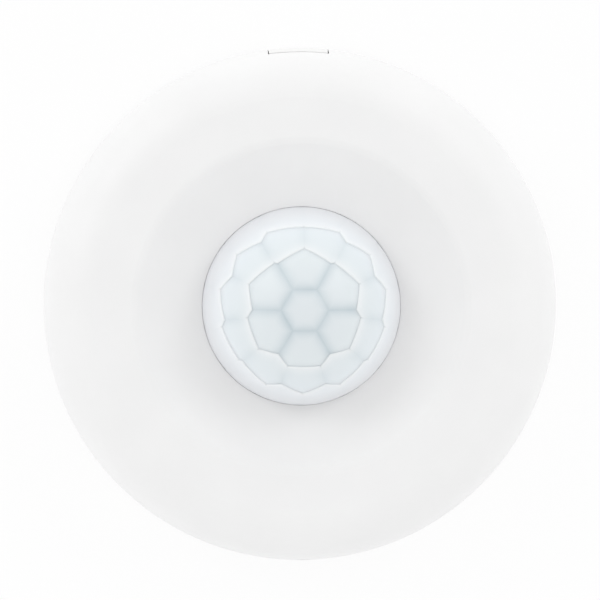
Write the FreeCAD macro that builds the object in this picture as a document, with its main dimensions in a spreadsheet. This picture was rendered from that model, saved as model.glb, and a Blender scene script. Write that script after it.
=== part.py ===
"""Round passive-infrared motion sensor for a ceiling, with a hinged front cover and a domed lens.

Millimetres. The origin is the centre of the mounting face, which lies against the ceiling.
+Z points from the ceiling into the room, through the top of the dome. +Y points to the hinge.
The cover's hinge tongue stands in a window at +Y, and the latch sits behind a slot at -Y.
"""

import FreeCAD, Part
import math
import os

import Sketcher

# ---------------------------------------------------------------- driving dimensions

TABLE = {
    # front cover
    "cover_radius": 55.0,
    "cover_height": 26.0,
    "wall": 2.0,
    "shoulder": 10.5,
    "rim_gap": 1.6,
    "rim_round": 0.5,
    "dish_radius": 35.3,
    "dish_depth": 3.6,
    "dish_curve": 45.0,
    "dish_edge": 4.0,
    # domed lens and the ring that holds it
    "lens_radius": 21.15,
    "lens_wall": 0.9,
    "lens_collar": 1.2,
    "lens_gap": 0.05,
    "flange_width": 3.1,
    "flange_thickness": 1.2,
    "flange_play": 0.8,
    "retainer_thickness": 1.6,
    "retainer_inset": 0.8,
    "retainer_margin": 5.1,
    "boss_offset": 7.7,
    "boss_radius": 2.6,
    "boss_bury": 0.5,
    "ear_radius": 3.0,
    "ring_screw_radius": 1.0,
    "ring_screw_head": 1.9,
    "ring_screw_head_height": 1.1,
    "ring_screw_depth": 2.6,
    "recess_length_share": 0.55,
    "recess_width_share": 0.15,
    # rear housing
    "base_gap": 1.8,
    "base_wall": 1.8,
    "base_floor": 2.0,
    "base_wall_height": 10.0,
    "back_recess_radius": 36.0,
    "back_recess_depth": 0.6,
    "back_rib_half_width": 1.5,
    "slot_margin": 5.0,
    "slot_half_width": 2.25,
    "slot_length": 9.0,
    "slot_lip": 1.2,
    "slot_lip_height": 1.0,
    # hinge at +Y
    "window_half_width": 6.5,
    "window_rise": 4.4,
    "tongue_gap": 0.4,
    "tongue_side_gap": 0.15,
    "tongue_thickness": 2.4,
    "tongue_root_height": 7.0,
    "hinge_inset": 2.9,
    "hinge_height": 3.3,
    "barrel_radius": 1.8,
    "barrel_outer_half": 10.4,
    "pin_radius": 0.8,
    "pin_clearance": 0.05,
    "pin_half_length": 10.1,
    "hinge_bay_half_width": 11.4,
    "hinge_bay_clearance": 1.4,
    # latch at -Y
    "finger_thickness": 1.4,
    "finger_half_width": 5.5,
    "finger_gap": 2.0,
    "finger_pivot_height": 3.4,
    "finger_barrel": 1.2,
    "finger_ear_thickness": 1.6,
    "finger_ear_radius": 1.7,
    "finger_play": 0.2,
    "finger_top_drop": 1.0,
    "finger_trunnion": 0.8,
    "barb_drop": 4.2,
    "barb_height": 2.0,
    "barb_reach": 0.9,
    "barb_half_width": 4.2,
    "ledge_reach": 1.8,
    "ledge_height": 1.4,
    "ledge_half_width": 4.5,
    "latch_clearance": 0.2,
    "release_half_width": 1.3,
    "release_drop": 2.1,
    "release_height": 1.6,
    # circuit board and its posts
    "focus_drop": 6.0,
    "board_margin": 16.85,
    "board_thickness": 1.6,
    "board_cell_gap": 1.4,
    "post_radius": 3.0,
    "post_bore": 0.95,
    "post_bore_depth": 6.0,
    "board_hole": 1.35,
    "post_inset": 4.1,
    "board_screw_length": 5.5,
    "board_screw_head": 2.2,
    "board_screw_head_height": 1.4,
    # infrared sensor, collar and light
    "sensor_lift": 1.2,
    "sensor_can_radius": 4.1,
    "sensor_flange_radius": 4.6,
    "sensor_flange_height": 0.5,
    "sensor_can_height": 4.2,
    "sensor_can_wall": 0.35,
    "window_half_x": 2.0,
    "window_half_y": 1.5,
    "window_thickness": 0.5,
    "sensor_pin_circle": 2.54,
    "sensor_pin_radius": 0.23,
    "pin_tail": 1.4,
    "collar_inner": 5.2,
    "collar_outer": 6.4,
    "collar_foot": 7.6,
    "collar_foot_height": 0.9,
    "collar_height": 4.0,
    "led_y": 10.6,
    "led_radius": 1.5,
    "led_rim_radius": 1.9,
    "led_rim_height": 0.8,
    "led_height": 4.6,
    "led_nose_share": 0.95,
    # flat parts on the board
    "mcu_x": -13.0,
    "mcu_y": -10.5,
    "mcu_size": 7.0,
    "mcu_height": 1.0,
    "radio_x": 12.6,
    "radio_y": -10.0,
    "radio_length": 9.0,
    "radio_width": 8.0,
    "radio_height": 1.4,
    "crystal_x": -13.5,
    "crystal_y": 2.5,
    "crystal_length": 5.0,
    "crystal_width": 3.2,
    "crystal_height": 1.1,
    "passive_length": 2.0,
    "passive_width": 1.25,
    "passive_height": 0.6,
    "passive_pitch": 3.2,
    # tall parts on the board, outside the ring
    "tall_offset": 9.85,
    "capacitor_radius": 3.0,
    "capacitor_height": 5.2,
    "capacitor_y": -7.0,
    "small_capacitor_radius": 2.0,
    "small_capacitor_y": -9.0,
    "antenna_inset": 7.6,
    "antenna_start": 6.5,
    "antenna_radius": 2.2,
    "antenna_wire": 0.4,
    "antenna_pitch": 1.5,
    "antenna_length": 12.0,
    # tamper switch
    "tamper_y": 2.0,
    "tamper_length": 8.0,
    "tamper_width": 3.6,
    "tamper_height": 4.2,
    "tamper_ear": 0.5,
    "tamper_ear_rise": 0.7,
    "lever_thickness": 0.3,
    "lever_barrel": 0.5,
    "lever_lift": 0.55,
    "lever_reach": 9.0,
    "lever_side_gap": 0.1,
    "lever_trunnion": 0.3,
    "small_clearance": 0.05,
    "plunger_radius": 0.6,
    "plunger_offset": 4.5,
    "plunger_depth": 1.5,
    "tamper_post_offset": 7.5,
    "tamper_post_radius": 1.3,
    "tamper_post_bury": 1.0,
    # learn button
    "button_y": 2.0,
    "button_size": 6.0,
    "button_body_height": 3.5,
    "button_radius": 1.75,
    "button_rise": 1.3,
    "button_seat": 0.8,
    "button_room": 0.5,
    # setting switches
    "setting_x": -14.0,
    "setting_inset": 8.1,
    "setting_length": 9.2,
    "setting_width": 6.0,
    "setting_height": 3.0,
    "setting_pitch": 2.54,
    "setting_slot_width": 1.6,
    "setting_slot_length": 3.6,
    "setting_slot_depth": 1.2,
    "slider_clearance": 0.1,
    "slider_length": 1.6,
    "slider_rise": 0.5,
    # battery
    "cell_radius": 8.5,
    "cell_length": 34.5,
    "cell_cap_radius": 3.2,
    "cell_cap_height": 1.5,
    "cell_gap": 0.7,
    "cradle": 0.6,
    "cradle_clearance": 0.1,
    "saddle_x": 10.0,
    "saddle_half_width": 0.9,
    "saddle_height": 5.0,
    "saddle_half_length": 8.0,
    "contact_thickness": 0.4,
    "contact_half_width": 5.0,
    "contact_lift": 1.5,
    "contact_tab_height": 2.0,
    "contact_tab_reach": 2.4,
    "spring_room": 3.6,
    "spring_wire": 0.35,
    "spring_radius": 3.0,
    "spring_turns": 3.0,
    "end_wall": 1.6,
    "end_wall_height": 11.0,
    "end_wall_half_length": 7.0,
    "solder_radius": 0.8,
    "solder_top_radius": 0.32,
    "solder_height": 0.7,
}


class Size:
    """A number that keeps the spreadsheet formula it comes from."""

    def __init__(self, value, formula):
        self.value = value
        self.formula = formula

    def __add__(self, other):
        other = size(other)
        return Size(self.value + other.value, f"({self.formula} + {other.formula})")

    def __sub__(self, other):
        other = size(other)
        return Size(self.value - other.value, f"({self.formula} - {other.formula})")

    def __mul__(self, other):
        other = size(other)
        return Size(self.value * other.value, f"({self.formula} * {other.formula})")

    def __truediv__(self, other):
        other = size(other)
        return Size(self.value / other.value, f"({self.formula} / {other.formula})")

    def __neg__(self):
        return self * -1

    __radd__ = __add__
    __rmul__ = __mul__

    def __rsub__(self, other):
        return size(other) - self


def size(number):
    """The number as a Size."""
    if isinstance(number, Size):
        return number
    return Size(float(number), f"({float(number)})")


def leg(hypotenuse, other_leg):
    """The second leg of a right triangle."""
    squared = hypotenuse * hypotenuse - other_leg * other_leg
    return Size(math.sqrt(squared.value), f"sqrt({squared.formula})")


def wedge_angle(half_width, radius):
    """The angle, in degrees, that a strip of this half width takes up on the radius."""
    share = half_width / radius
    return Size(2 * math.degrees(math.asin(share.value)), f"(2 * asin({share.formula}))")


class Dimensions:
    """The spreadsheet of driving dimensions. Each is read by name, as a Size."""

    def __init__(self, document, table):
        self.sheet = document.addObject("Spreadsheet::Sheet", "dims")
        for row, (name, value) in enumerate(table.items(), 1):
            self.sheet.set(f"A{row}", name)
            self.sheet.set(f"B{row}", str(value))
            self.sheet.setAlias(f"B{row}", name)
        document.recompute()

    def __getattr__(self, name):
        return Size(float(self.sheet.get(name)), f"dims.{name}")


doc = FreeCAD.newDocument("motion_sensor")
dims = Dimensions(doc, TABLE)
nodes = []

# ---------------------------------------------------------------- levels and places

shoulder_z = dims.cover_height - dims.shoulder
dish_floor = dims.cover_height - dims.dish_depth
seat_z = dish_floor - dims.wall
hole_radius = dims.lens_radius + dims.lens_gap
flange_radius = dims.lens_radius + dims.flange_width
flange_z = seat_z - dims.flange_thickness
lens_centre = seat_z + dims.lens_collar
retainer_z = flange_z - dims.retainer_thickness
boss_circle = dims.lens_radius + dims.boss_offset
window_top = shoulder_z + dims.window_rise
base_radius = dims.cover_radius - dims.wall - dims.base_gap
base_inner = base_radius - dims.base_wall
hinge_y = dims.cover_radius - dims.hinge_inset
board_top = lens_centre - dims.focus_drop
board_bottom = board_top - dims.board_thickness
board_radius = dims.lens_radius + dims.board_margin
slot_x = board_radius + dims.slot_margin
tall_x = dims.lens_radius + dims.tall_offset
cell_z = dims.base_floor + dims.cradle + dims.cell_radius
cell_under_ring = leg(dims.cell_radius, retainer_z - cell_z)
cell_y = -(dims.lens_radius + dims.retainer_margin + dims.cell_gap + cell_under_ring)
board_chord = -cell_y - leg(dims.cell_radius, board_bottom - cell_z) - dims.board_cell_gap
cell_half = dims.cell_length / 2
plate_x = -(cell_half + dims.spring_room)
finger_y = -(dims.cover_radius - dims.wall - dims.finger_gap)
finger_top = window_top - dims.finger_top_drop
barb_z = window_top - dims.barb_drop - dims.latch_clearance
setting_y = board_radius - dims.setting_inset
antenna_y = board_radius - dims.antenna_inset


def around(radius, angles):
    """Points on a circle about Z, at these angles in degrees from +X."""
    turns = [math.radians(angle) for angle in angles]
    return [(radius * math.cos(turn), radius * math.sin(turn)) for turn in turns]


POST_ANGLES = (42.5, 137.5, 212.5, 327.5)
RING_SCREW_ANGLES = (90, 210, 330)
SENSOR_LEG_ANGLES = (45, 135, 270)

posts = around(board_radius - dims.post_inset, POST_ANGLES)
ring_screws = around(boss_circle, RING_SCREW_ANGLES)
sensor_legs = around(dims.sensor_pin_circle, SENSOR_LEG_ANGLES)


# ---------------------------------------------------------------- sketches and features


def bind(thing, prop, amount):
    """Ties a property to its formula."""
    thing.setExpression(prop, size(amount).formula)


def arc_between(start, end, radius):
    """An arc from start to end. A positive radius turns left on the way, a negative one right."""
    chord = end - start
    half = chord.Length / 2
    height = math.sqrt(max(radius * radius - half * half, 0.0))
    left = FreeCAD.Vector(-chord.y, chord.x, 0).normalize()
    side = 1 if radius > 0 else -1
    bulge = (start + end) / 2 - left * (side * (abs(radius) - height))
    return Part.Arc(start, bulge, end)


def outline(*corners):
    """Draws a closed outline. A corner is (x, y), or (x, y, radius) where an arc leads to the next."""

    def draw(sketch):
        points = [FreeCAD.Vector(size(c[0]).value, size(c[1]).value, 0) for c in corners]
        edges = []
        for index, corner in enumerate(corners):
            start, end = points[index], points[(index + 1) % len(points)]
            if len(corner) == 2:
                edges.append(sketch.addGeometry(Part.LineSegment(start, end), False))
                continue
            curve = arc_between(start, end, size(corner[2]).value)
            edges.append(sketch.addGeometry(curve, False))
        turned = [len(c) == 3 and size(c[2]).value < 0 for c in corners]
        for index, corner in enumerate(corners):
            here, there = edges[index], edges[(index + 1) % len(edges)]
            start_point = 2 if turned[index] else 1
            end_point = 1 if turned[index] else 2
            next_start = 2 if turned[(index + 1) % len(edges)] else 1
            sketch.addConstraint(
                Sketcher.Constraint("Coincident", here, end_point, there, next_start)
            )
            hold(sketch, here, start_point, corner[0], corner[1])
            if len(corner) == 3:
                chord = points[(index + 1) % len(points)] - points[index]
                hold_arc(sketch, here, corner, chord.Length)

    return draw


def hold(sketch, edge, point, x, y):
    """Fixes a point of an edge at (x, y) with two constraints."""
    for kind, axis, amount in (("DistanceX", -2, size(x)), ("DistanceY", -1, size(y))):
        if amount.value == 0:
            sketch.addConstraint(Sketcher.Constraint("PointOnObject", edge, point, axis))
            continue
        constraint = Sketcher.Constraint(kind, -1, 1, edge, point, amount.value)
        number = sketch.addConstraint(constraint)
        bind(sketch, f"Constraints[{number}]", amount)


HALF_TURN = 1.999


def hold_arc(sketch, edge, corner, chord):
    """Fixes an arc by its radius. The centre of a half turn lies straight above its start instead."""
    radius = size(corner[2])
    sign = 1 if radius.value > 0 else -1
    if chord > HALF_TURN * abs(radius.value):
        constraint = Sketcher.Constraint("DistanceX", -1, 1, edge, 3, size(corner[0]).value)
        number = sketch.addConstraint(constraint)
        bind(sketch, f"Constraints[{number}]", corner[0])
        return
    number = sketch.addConstraint(Sketcher.Constraint("Radius", edge, abs(radius.value)))
    bind(sketch, f"Constraints[{number}]", radius * sign)


def rectangle(x, y):
    """Draws a rectangle between two pairs of values."""
    return outline((x[0], y[0]), (x[1], y[0]), (x[1], y[1]), (x[0], y[1]))


def circle(x, y, radius):
    """Draws a circle."""

    def draw(sketch):
        centre = FreeCAD.Vector(size(x).value, size(y).value, 0)
        normal = FreeCAD.Vector(0, 0, 1)
        edge = sketch.addGeometry(Part.Circle(centre, normal, size(radius).value), False)
        hold(sketch, edge, 3, x, y)
        constraint = Sketcher.Constraint("Radius", edge, size(radius).value)
        number = sketch.addConstraint(constraint)
        bind(sketch, f"Constraints[{number}]", radius)

    return draw


class Piece:
    """A PartDesign body of one named part, with short calls for the features used here."""

    def __init__(self, name):
        self.body = doc.addObject("PartDesign::Body", name)
        self.body.Label = name
        nodes.append(self.body)

    def sketch(self, role, start, shapes):
        """A sketch on one of the body's own planes, lifted by start along the plane's normal."""
        features = self.body.Origin.OriginFeatures
        plane = next(feature for feature in features if feature.Role == role)
        made = self.body.newObject("Sketcher::SketchObject", f"{self.body.Name}_sketch")
        made.AttachmentSupport = [(plane, "")]
        made.MapMode = "FlatFace"
        bind(made, "AttachmentOffset.Base.z", start)
        for draw in shapes:
            draw(made)
        return made

    def turn(self, role, *shapes, angle=None):
        """A solid of revolution about Z: a full turn, or the angle, halved by the sketch's plane."""
        profile = self.sketch(role, 0, shapes)
        made = self.body.newObject("PartDesign::Revolution", f"{self.body.Name}_turn")
        made.Profile = profile
        made.ReferenceAxis = (profile, ["V_Axis"])
        made.Angle = 360.0
        if angle is not None:
            made.Midplane = True
            bind(made, "Angle", angle)
        return made

    def pad(self, role, start, length, *shapes, middle=False):
        """Material from start, by length along the plane's normal, or half of it each way."""
        made_sketch = self.sketch(role, start, shapes)
        made = self.body.newObject("PartDesign::Pad", f"{self.body.Name}_pad")
        made.Profile = made_sketch
        made.Midplane = middle
        bind(made, "Length", length)
        return made

    def pocket(self, role, start, length, *shapes, middle=False):
        """A cut from start, by length along the plane's normal, or half of it each way."""
        made_sketch = self.sketch(role, start, shapes)
        made = self.body.newObject("PartDesign::Pocket", f"{self.body.Name}_pocket")
        made.Profile = made_sketch
        made.Midplane = middle
        made.Reversed = not middle
        bind(made, "Length", length)
        return made

    def round_edges(self, radius, chosen, kind="Fillet"):
        """Rounds or chamfers the edges that chosen(edge) accepts."""
        doc.recompute()
        tip = self.body.Tip
        names = [
            f"Edge{number}"
            for number, edge in enumerate(tip.Shape.Edges, 1)
            if chosen(edge)
        ]
        made = self.body.newObject(f"PartDesign::{kind}", f"{self.body.Name}_{kind.lower()}")
        made.Base = (tip, names)
        bind(made, "Radius" if kind == "Fillet" else "Size", radius)
        return made


def is_ring(radius, height, slack=0.02):
    """Accepts full circular edges about Z with this radius at this height."""

    def chosen(edge):
        curve = edge.Curve
        if not isinstance(curve, Part.Circle) or abs(curve.Axis.z) < 0.99:
            return False
        on_axis = math.hypot(curve.Center.x, curve.Center.y) < slack
        same_radius = abs(curve.Radius - radius.value) < slack
        return on_axis and same_radius and abs(curve.Center.z - height.value) < slack

    return chosen


# ---------------------------------------------------------------- primitives


def move(thing, x, y, z):
    """Ties a placement to formulas."""
    for letter, amount in (("x", x), ("y", y), ("z", z)):
        bind(thing, f"Placement.Base.{letter}", amount)
    return thing


def box(name, x, y, z):
    """A block between three pairs of values."""
    made = doc.addObject("Part::Box", name)
    for prop, pair in (("Length", x), ("Width", y), ("Height", z)):
        bind(made, prop, size(pair[1]) - pair[0])
    return move(made, x[0], y[0], z[0])


TILTS = {
    "X": FreeCAD.Rotation(FreeCAD.Vector(0, 1, 0), 90),
    "Y": FreeCAD.Rotation(FreeCAD.Vector(1, 0, 0), -90),
    "Z": FreeCAD.Rotation(),
}


def rod(name, along, start, radius, length):
    """A cylinder along an axis, from its start point."""
    made = doc.addObject("Part::Cylinder", name)
    bind(made, "Radius", radius)
    bind(made, "Height", length)
    made.Placement = FreeCAD.Placement(FreeCAD.Vector(), TILTS[along])
    return move(made, *start)


def joined(name, *shapes):
    """One solid from several overlapping ones."""
    made = doc.addObject("Part::MultiFuse", name)
    made.Shapes = list(shapes)
    made.Refine = True
    return made


def without(name, base, tool):
    """The base with the tool cut away."""
    made = doc.addObject("Part::Cut", name)
    made.Base = base
    made.Tool = tool
    return made


def group(name, shapes):
    """Separate solids that share one node."""
    made = doc.addObject("Part::Compound", name)
    made.Links = list(shapes)
    return made


def node(thing, label):
    """Marks a finished sub-part."""
    thing.Label = label
    nodes.append(thing)
    return thing


def coil(name, along, start, radius, wire, pitch, length):
    """A round-wire helix along an axis."""
    spine = doc.addObject("Part::Helix", f"{name}_spine")
    bind(spine, "Pitch", pitch)
    bind(spine, "Height", length)
    bind(spine, "Radius", radius)
    section = doc.addObject("Part::Circle", f"{name}_section")
    bind(section, "Radius", wire)
    section.Placement = FreeCAD.Placement(
        FreeCAD.Vector(), FreeCAD.Rotation(FreeCAD.Vector(1, 0, 0), 90)
    )
    bind(section, "Placement.Base.x", radius)
    made = doc.addObject("Part::Sweep", name)
    made.Sections = [section]
    made.Spine = (spine, ["Edge1"])
    made.Solid = True
    made.Frenet = True
    made.Placement = FreeCAD.Placement(FreeCAD.Vector(), TILTS[along])
    return move(made, *start)


# ---------------------------------------------------------------- housing


def front_cover():
    """The white shell: side wall, round shoulder, flat ring and a dish down to the lens."""
    piece = Piece("front_cover")
    seat_radius = flange_radius + dims.flange_play
    piece.turn(
        "XZ_Plane",
        outline(
            (dims.cover_radius, dims.rim_gap),
            (dims.cover_radius, shoulder_z, dims.shoulder),
            (dims.cover_radius - dims.shoulder, dims.cover_height),
            (dims.dish_radius, dims.cover_height, -dims.dish_curve),
            (hole_radius, dish_floor),
            (hole_radius, seat_z),
            (seat_radius, seat_z, dims.dish_curve + dims.wall),
            (dims.dish_radius, dims.cover_height - dims.wall),
            (
                dims.cover_radius - dims.shoulder,
                dims.cover_height - dims.wall,
                dims.wall - dims.shoulder,
            ),
            (dims.cover_radius - dims.wall, shoulder_z),
            (dims.cover_radius - dims.wall, dims.rim_gap),
        ),
    )
    piece.round_edges(dims.dish_edge, is_ring(dims.dish_radius, dims.cover_height))
    piece.round_edges(dims.rim_round, is_ring(dims.cover_radius, dims.rim_gap))
    cover_hinge(piece)
    cover_catch(piece)
    cover_posts(piece)
    return piece


def cover_hinge(piece):
    """Two barrels on the hinge axis, and the window between them for the tongue."""
    wall_y = (hinge_y, dims.cover_radius - dims.wall + dims.rim_round)
    barrel_z = (dims.rim_gap, dims.hinge_height + dims.barrel_radius)
    piece.pad(
        "YZ_Plane",
        0,
        dims.barrel_outer_half * 2,
        circle(hinge_y, dims.hinge_height, dims.barrel_radius),
        middle=True,
    )
    piece.pad(
        "YZ_Plane",
        0,
        dims.barrel_outer_half * 2,
        rectangle(wall_y, barrel_z),
        middle=True,
    )
    inside = hinge_y - dims.barrel_radius * 2
    piece.pocket(
        "XY_Plane",
        0,
        window_top,
        rectangle(
            (-dims.window_half_width, dims.window_half_width),
            (inside, dims.cover_radius + dims.wall),
        ),
    )
    piece.pocket(
        "YZ_Plane",
        0,
        dims.barrel_outer_half * 2 + dims.wall,
        circle(hinge_y, dims.hinge_height, dims.pin_radius + dims.pin_clearance),
        middle=True,
    )


def cover_catch(piece):
    """The ledge that the latch's barb holds down, and the slot for a screwdriver above it."""
    inner_y = finger_y - dims.finger_gap
    ledge_top = barb_z - dims.latch_clearance
    piece.pad(
        "XY_Plane",
        ledge_top - dims.ledge_height,
        dims.ledge_height,
        rectangle(
            (-dims.ledge_half_width, dims.ledge_half_width),
            (inner_y - dims.wall / 2, inner_y + dims.ledge_reach),
        ),
    )
    piece.pocket(
        "XY_Plane",
        window_top - dims.release_drop - dims.release_height,
        dims.release_height,
        rectangle(
            (-dims.release_half_width, dims.release_half_width),
            (-(dims.cover_radius + dims.wall), finger_y),
        ),
    )


def cover_posts(piece):
    """Screw bosses for the lens ring, and the post that holds the tamper lever down."""
    piece.pad(
        "XY_Plane",
        flange_z,
        dish_floor + dims.boss_bury - flange_z,
        *[circle(x, y, dims.boss_radius) for x, y in ring_screws],
    )
    piece.pocket(
        "XY_Plane",
        flange_z,
        dims.ring_screw_depth,
        *[circle(x, y, dims.ring_screw_radius) for x, y in ring_screws],
    )
    tip = tamper_lever_top() + dims.small_clearance
    piece.pad(
        "XY_Plane",
        tip,
        dish_floor + dims.tamper_post_bury - tip,
        circle(tall_x, tamper_start() + dims.tamper_post_offset, dims.tamper_post_radius),
    )


def base_housing():
    """The rear tray that is screwed to the ceiling and carries everything but the cover."""
    piece = Piece("base_housing")
    piece.turn(
        "XZ_Plane",
        outline(
            (0, 0),
            (base_radius, 0),
            (base_radius, dims.base_wall_height),
            (base_inner, dims.base_wall_height),
            (base_inner, dims.base_floor),
            (0, dims.base_floor),
        ),
    )
    base_hinge(piece)
    base_latch_seat(piece)
    base_screw_slots(piece)
    base_back(piece)
    board_posts(piece)
    battery_bay(piece)
    return piece


def base_hinge(piece):
    """A bay for the cover's barrels, with the tongue standing in the middle of it."""
    bay_y = hinge_y - dims.barrel_radius - dims.hinge_bay_clearance
    bay_x = (-dims.hinge_bay_half_width, dims.hinge_bay_half_width)
    wall_x = (bay_x[0] - dims.base_wall, bay_x[1] + dims.base_wall)
    piece.pocket(
        "XY_Plane",
        0,
        dims.base_wall_height,
        rectangle(bay_x, (bay_y, dims.cover_radius)),
    )
    piece.pad(
        "XY_Plane",
        0,
        dims.base_wall_height,
        rectangle(wall_x, (bay_y - dims.base_wall, bay_y)),
    )
    tongue_half = dims.window_half_width - dims.tongue_side_gap
    tongue_inner = dims.cover_radius - dims.tongue_thickness
    root_x = tongue_half * tongue_inner / dims.cover_radius
    piece.pad(
        "XY_Plane",
        0,
        dims.tongue_root_height,
        rectangle((-root_x, root_x), (bay_y, tongue_inner + dims.tongue_gap)),
    )
    top = window_top - dims.tongue_gap
    rise = top - shoulder_z
    inner_shoulder = dims.shoulder - dims.tongue_thickness
    arc_centre = dims.cover_radius - dims.shoulder
    piece.turn(
        "YZ_Plane",
        outline(
            (tongue_inner, 0),
            (dims.cover_radius, 0),
            (dims.cover_radius, shoulder_z, dims.shoulder),
            (arc_centre + leg(dims.shoulder, rise), top),
            (arc_centre + leg(inner_shoulder, rise), top, -inner_shoulder),
            (tongue_inner, shoulder_z),
        ),
        angle=wedge_angle(tongue_half, dims.cover_radius),
    )
    piece.pocket(
        "YZ_Plane",
        0,
        dims.pin_half_length * 2,
        circle(hinge_y, dims.hinge_height, dims.pin_radius),
        middle=True,
    )


def base_latch_seat(piece):
    """A gap in the wall at -Y, with two ears that carry the latch finger's trunnions."""
    ear_inner = dims.finger_half_width + dims.finger_play
    ear_outer = ear_inner + dims.finger_ear_thickness
    gap = (-(ear_outer + dims.finger_play), ear_outer + dims.finger_play)
    pivot_y = finger_y + dims.finger_thickness / 2
    bore = dims.finger_trunnion + dims.small_clearance
    piece.pocket(
        "XY_Plane",
        dims.base_floor,
        dims.base_wall_height,
        rectangle(gap, (-(base_radius + dims.wall), -(base_inner - dims.base_wall))),
    )
    ear = (
        circle(pivot_y, dims.finger_pivot_height, dims.finger_ear_radius),
        rectangle(
            (pivot_y - dims.finger_ear_radius, pivot_y + dims.finger_ear_radius),
            (dims.base_floor - dims.cradle, dims.finger_pivot_height),
        ),
    )
    for shape in ear:
        piece.pad("YZ_Plane", ear_inner, dims.finger_ear_thickness, shape)
        piece.pad("YZ_Plane", -ear_outer, dims.finger_ear_thickness, shape)
    piece.pocket(
        "YZ_Plane",
        0,
        ear_outer * 2 + dims.wall,
        circle(pivot_y, dims.finger_pivot_height, bore),
        middle=True,
    )


def slot_shape(x, half_width, half_straight):
    """A slot along X with round ends."""
    return outline(
        (x - half_straight, -half_width),
        (x + half_straight, -half_width, half_width),
        (x + half_straight, half_width),
        (x - half_straight, half_width, half_width),
    )


def base_screw_slots(piece):
    """Two round-ended slots for the ceiling screws, each with a raised lip round it."""
    half_straight = dims.slot_length / 2 - dims.slot_half_width
    lip = dims.slot_half_width + dims.slot_lip
    for side in (1, -1):
        piece.pad(
            "XY_Plane",
            dims.base_floor,
            dims.slot_lip_height,
            slot_shape(slot_x * side, lip, half_straight),
        )
        piece.pocket(
            "XY_Plane",
            0,
            dims.base_floor + dims.slot_lip_height,
            slot_shape(slot_x * side, dims.slot_half_width, half_straight),
        )


def base_back(piece):
    """A shallow round recess in the mounting face, crossed by two ribs."""
    piece.pocket(
        "XY_Plane", 0, dims.back_recess_depth, circle(0, 0, dims.back_recess_radius)
    )
    reach = dims.back_recess_radius + dims.back_rib_half_width
    rib = (-dims.back_rib_half_width, dims.back_rib_half_width)
    piece.pad("XY_Plane", 0, dims.back_recess_depth, rectangle((-reach, reach), rib))
    piece.pad("XY_Plane", 0, dims.back_recess_depth, rectangle(rib, (-reach, reach)))


def board_posts(piece):
    """Four bored posts under the circuit board."""
    piece.pad(
        "XY_Plane",
        dims.back_recess_depth,
        board_bottom - dims.back_recess_depth,
        *[circle(x, y, dims.post_radius) for x, y in posts],
    )
    piece.pocket(
        "XY_Plane",
        board_bottom - dims.post_bore_depth,
        dims.post_bore_depth,
        *[circle(x, y, dims.post_bore) for x, y in posts],
    )


def battery_bay(piece):
    """Two saddles under the cell, and an end wall behind each contact plate."""
    low = dims.base_floor - dims.back_recess_depth
    saddle_y = (cell_y - dims.saddle_half_length, cell_y + dims.saddle_half_length)
    for side in (1, -1):
        middle = dims.saddle_x * side
        saddle_x = (middle - dims.saddle_half_width, middle + dims.saddle_half_width)
        piece.pad("XY_Plane", low, dims.saddle_height, rectangle(saddle_x, saddle_y))
    piece.pocket(
        "YZ_Plane",
        0,
        dims.cell_length,
        circle(cell_y, cell_z, dims.cell_radius + dims.cradle_clearance),
        middle=True,
    )
    wall_y = (cell_y - dims.end_wall_half_length, cell_y + dims.end_wall_half_length)
    front_x = cell_half + dims.contact_thickness
    rear_x = plate_x - dims.contact_thickness
    for x in ((front_x, front_x + dims.end_wall), (rear_x - dims.end_wall, rear_x)):
        piece.pad("XY_Plane", low, dims.end_wall_height, rectangle(x, wall_y))


def hinge_pin():
    """The steel pin, pressed in the tongue's root and free in the cover's barrels."""
    start = (-dims.pin_half_length, hinge_y, dims.hinge_height)
    node(rod("pin", "X", start, dims.pin_radius, dims.pin_half_length * 2), "hinge_pin")


def latch_finger():
    """The springy finger with a barb, which a screwdriver bends inwards."""
    piece = Piece("latch_finger")
    outer = finger_y
    inner = finger_y + dims.finger_thickness
    pivot_y = finger_y + dims.finger_thickness / 2
    piece.pad(
        "YZ_Plane",
        0,
        dims.finger_half_width * 2,
        rectangle((outer, inner), (dims.finger_pivot_height, finger_top)),
        middle=True,
    )
    piece.pad(
        "YZ_Plane",
        0,
        dims.barb_half_width * 2,
        outline(
            (inner, barb_z),
            (inner, barb_z + dims.barb_height),
            (outer, barb_z + dims.barb_height),
            (outer - dims.barb_reach, barb_z + dims.latch_clearance),
            (outer - dims.barb_reach, barb_z),
        ),
        middle=True,
    )
    piece.pad(
        "YZ_Plane",
        0,
        dims.finger_half_width * 2,
        circle(pivot_y, dims.finger_pivot_height, dims.finger_barrel),
        middle=True,
    )
    trunnion = dims.finger_half_width + dims.finger_play + dims.finger_ear_thickness
    piece.pad(
        "YZ_Plane",
        0,
        trunnion * 2,
        circle(pivot_y, dims.finger_pivot_height, dims.finger_trunnion),
        middle=True,
    )
    return piece


# ---------------------------------------------------------------- lens group


def dome_lens():
    """The thin dome over the sensor, with a flange under the cover."""
    piece = Piece("dome_lens")
    inner = dims.lens_radius - dims.lens_wall
    piece.turn(
        "XZ_Plane",
        outline(
            (dims.lens_radius, seat_z),
            (dims.lens_radius, lens_centre, dims.lens_radius),
            (0, lens_centre + dims.lens_radius),
            (0, lens_centre + inner, -inner),
            (inner, lens_centre),
            (inner, flange_z),
            (flange_radius, flange_z),
            (flange_radius, seat_z),
        ),
    )
    return piece


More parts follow.
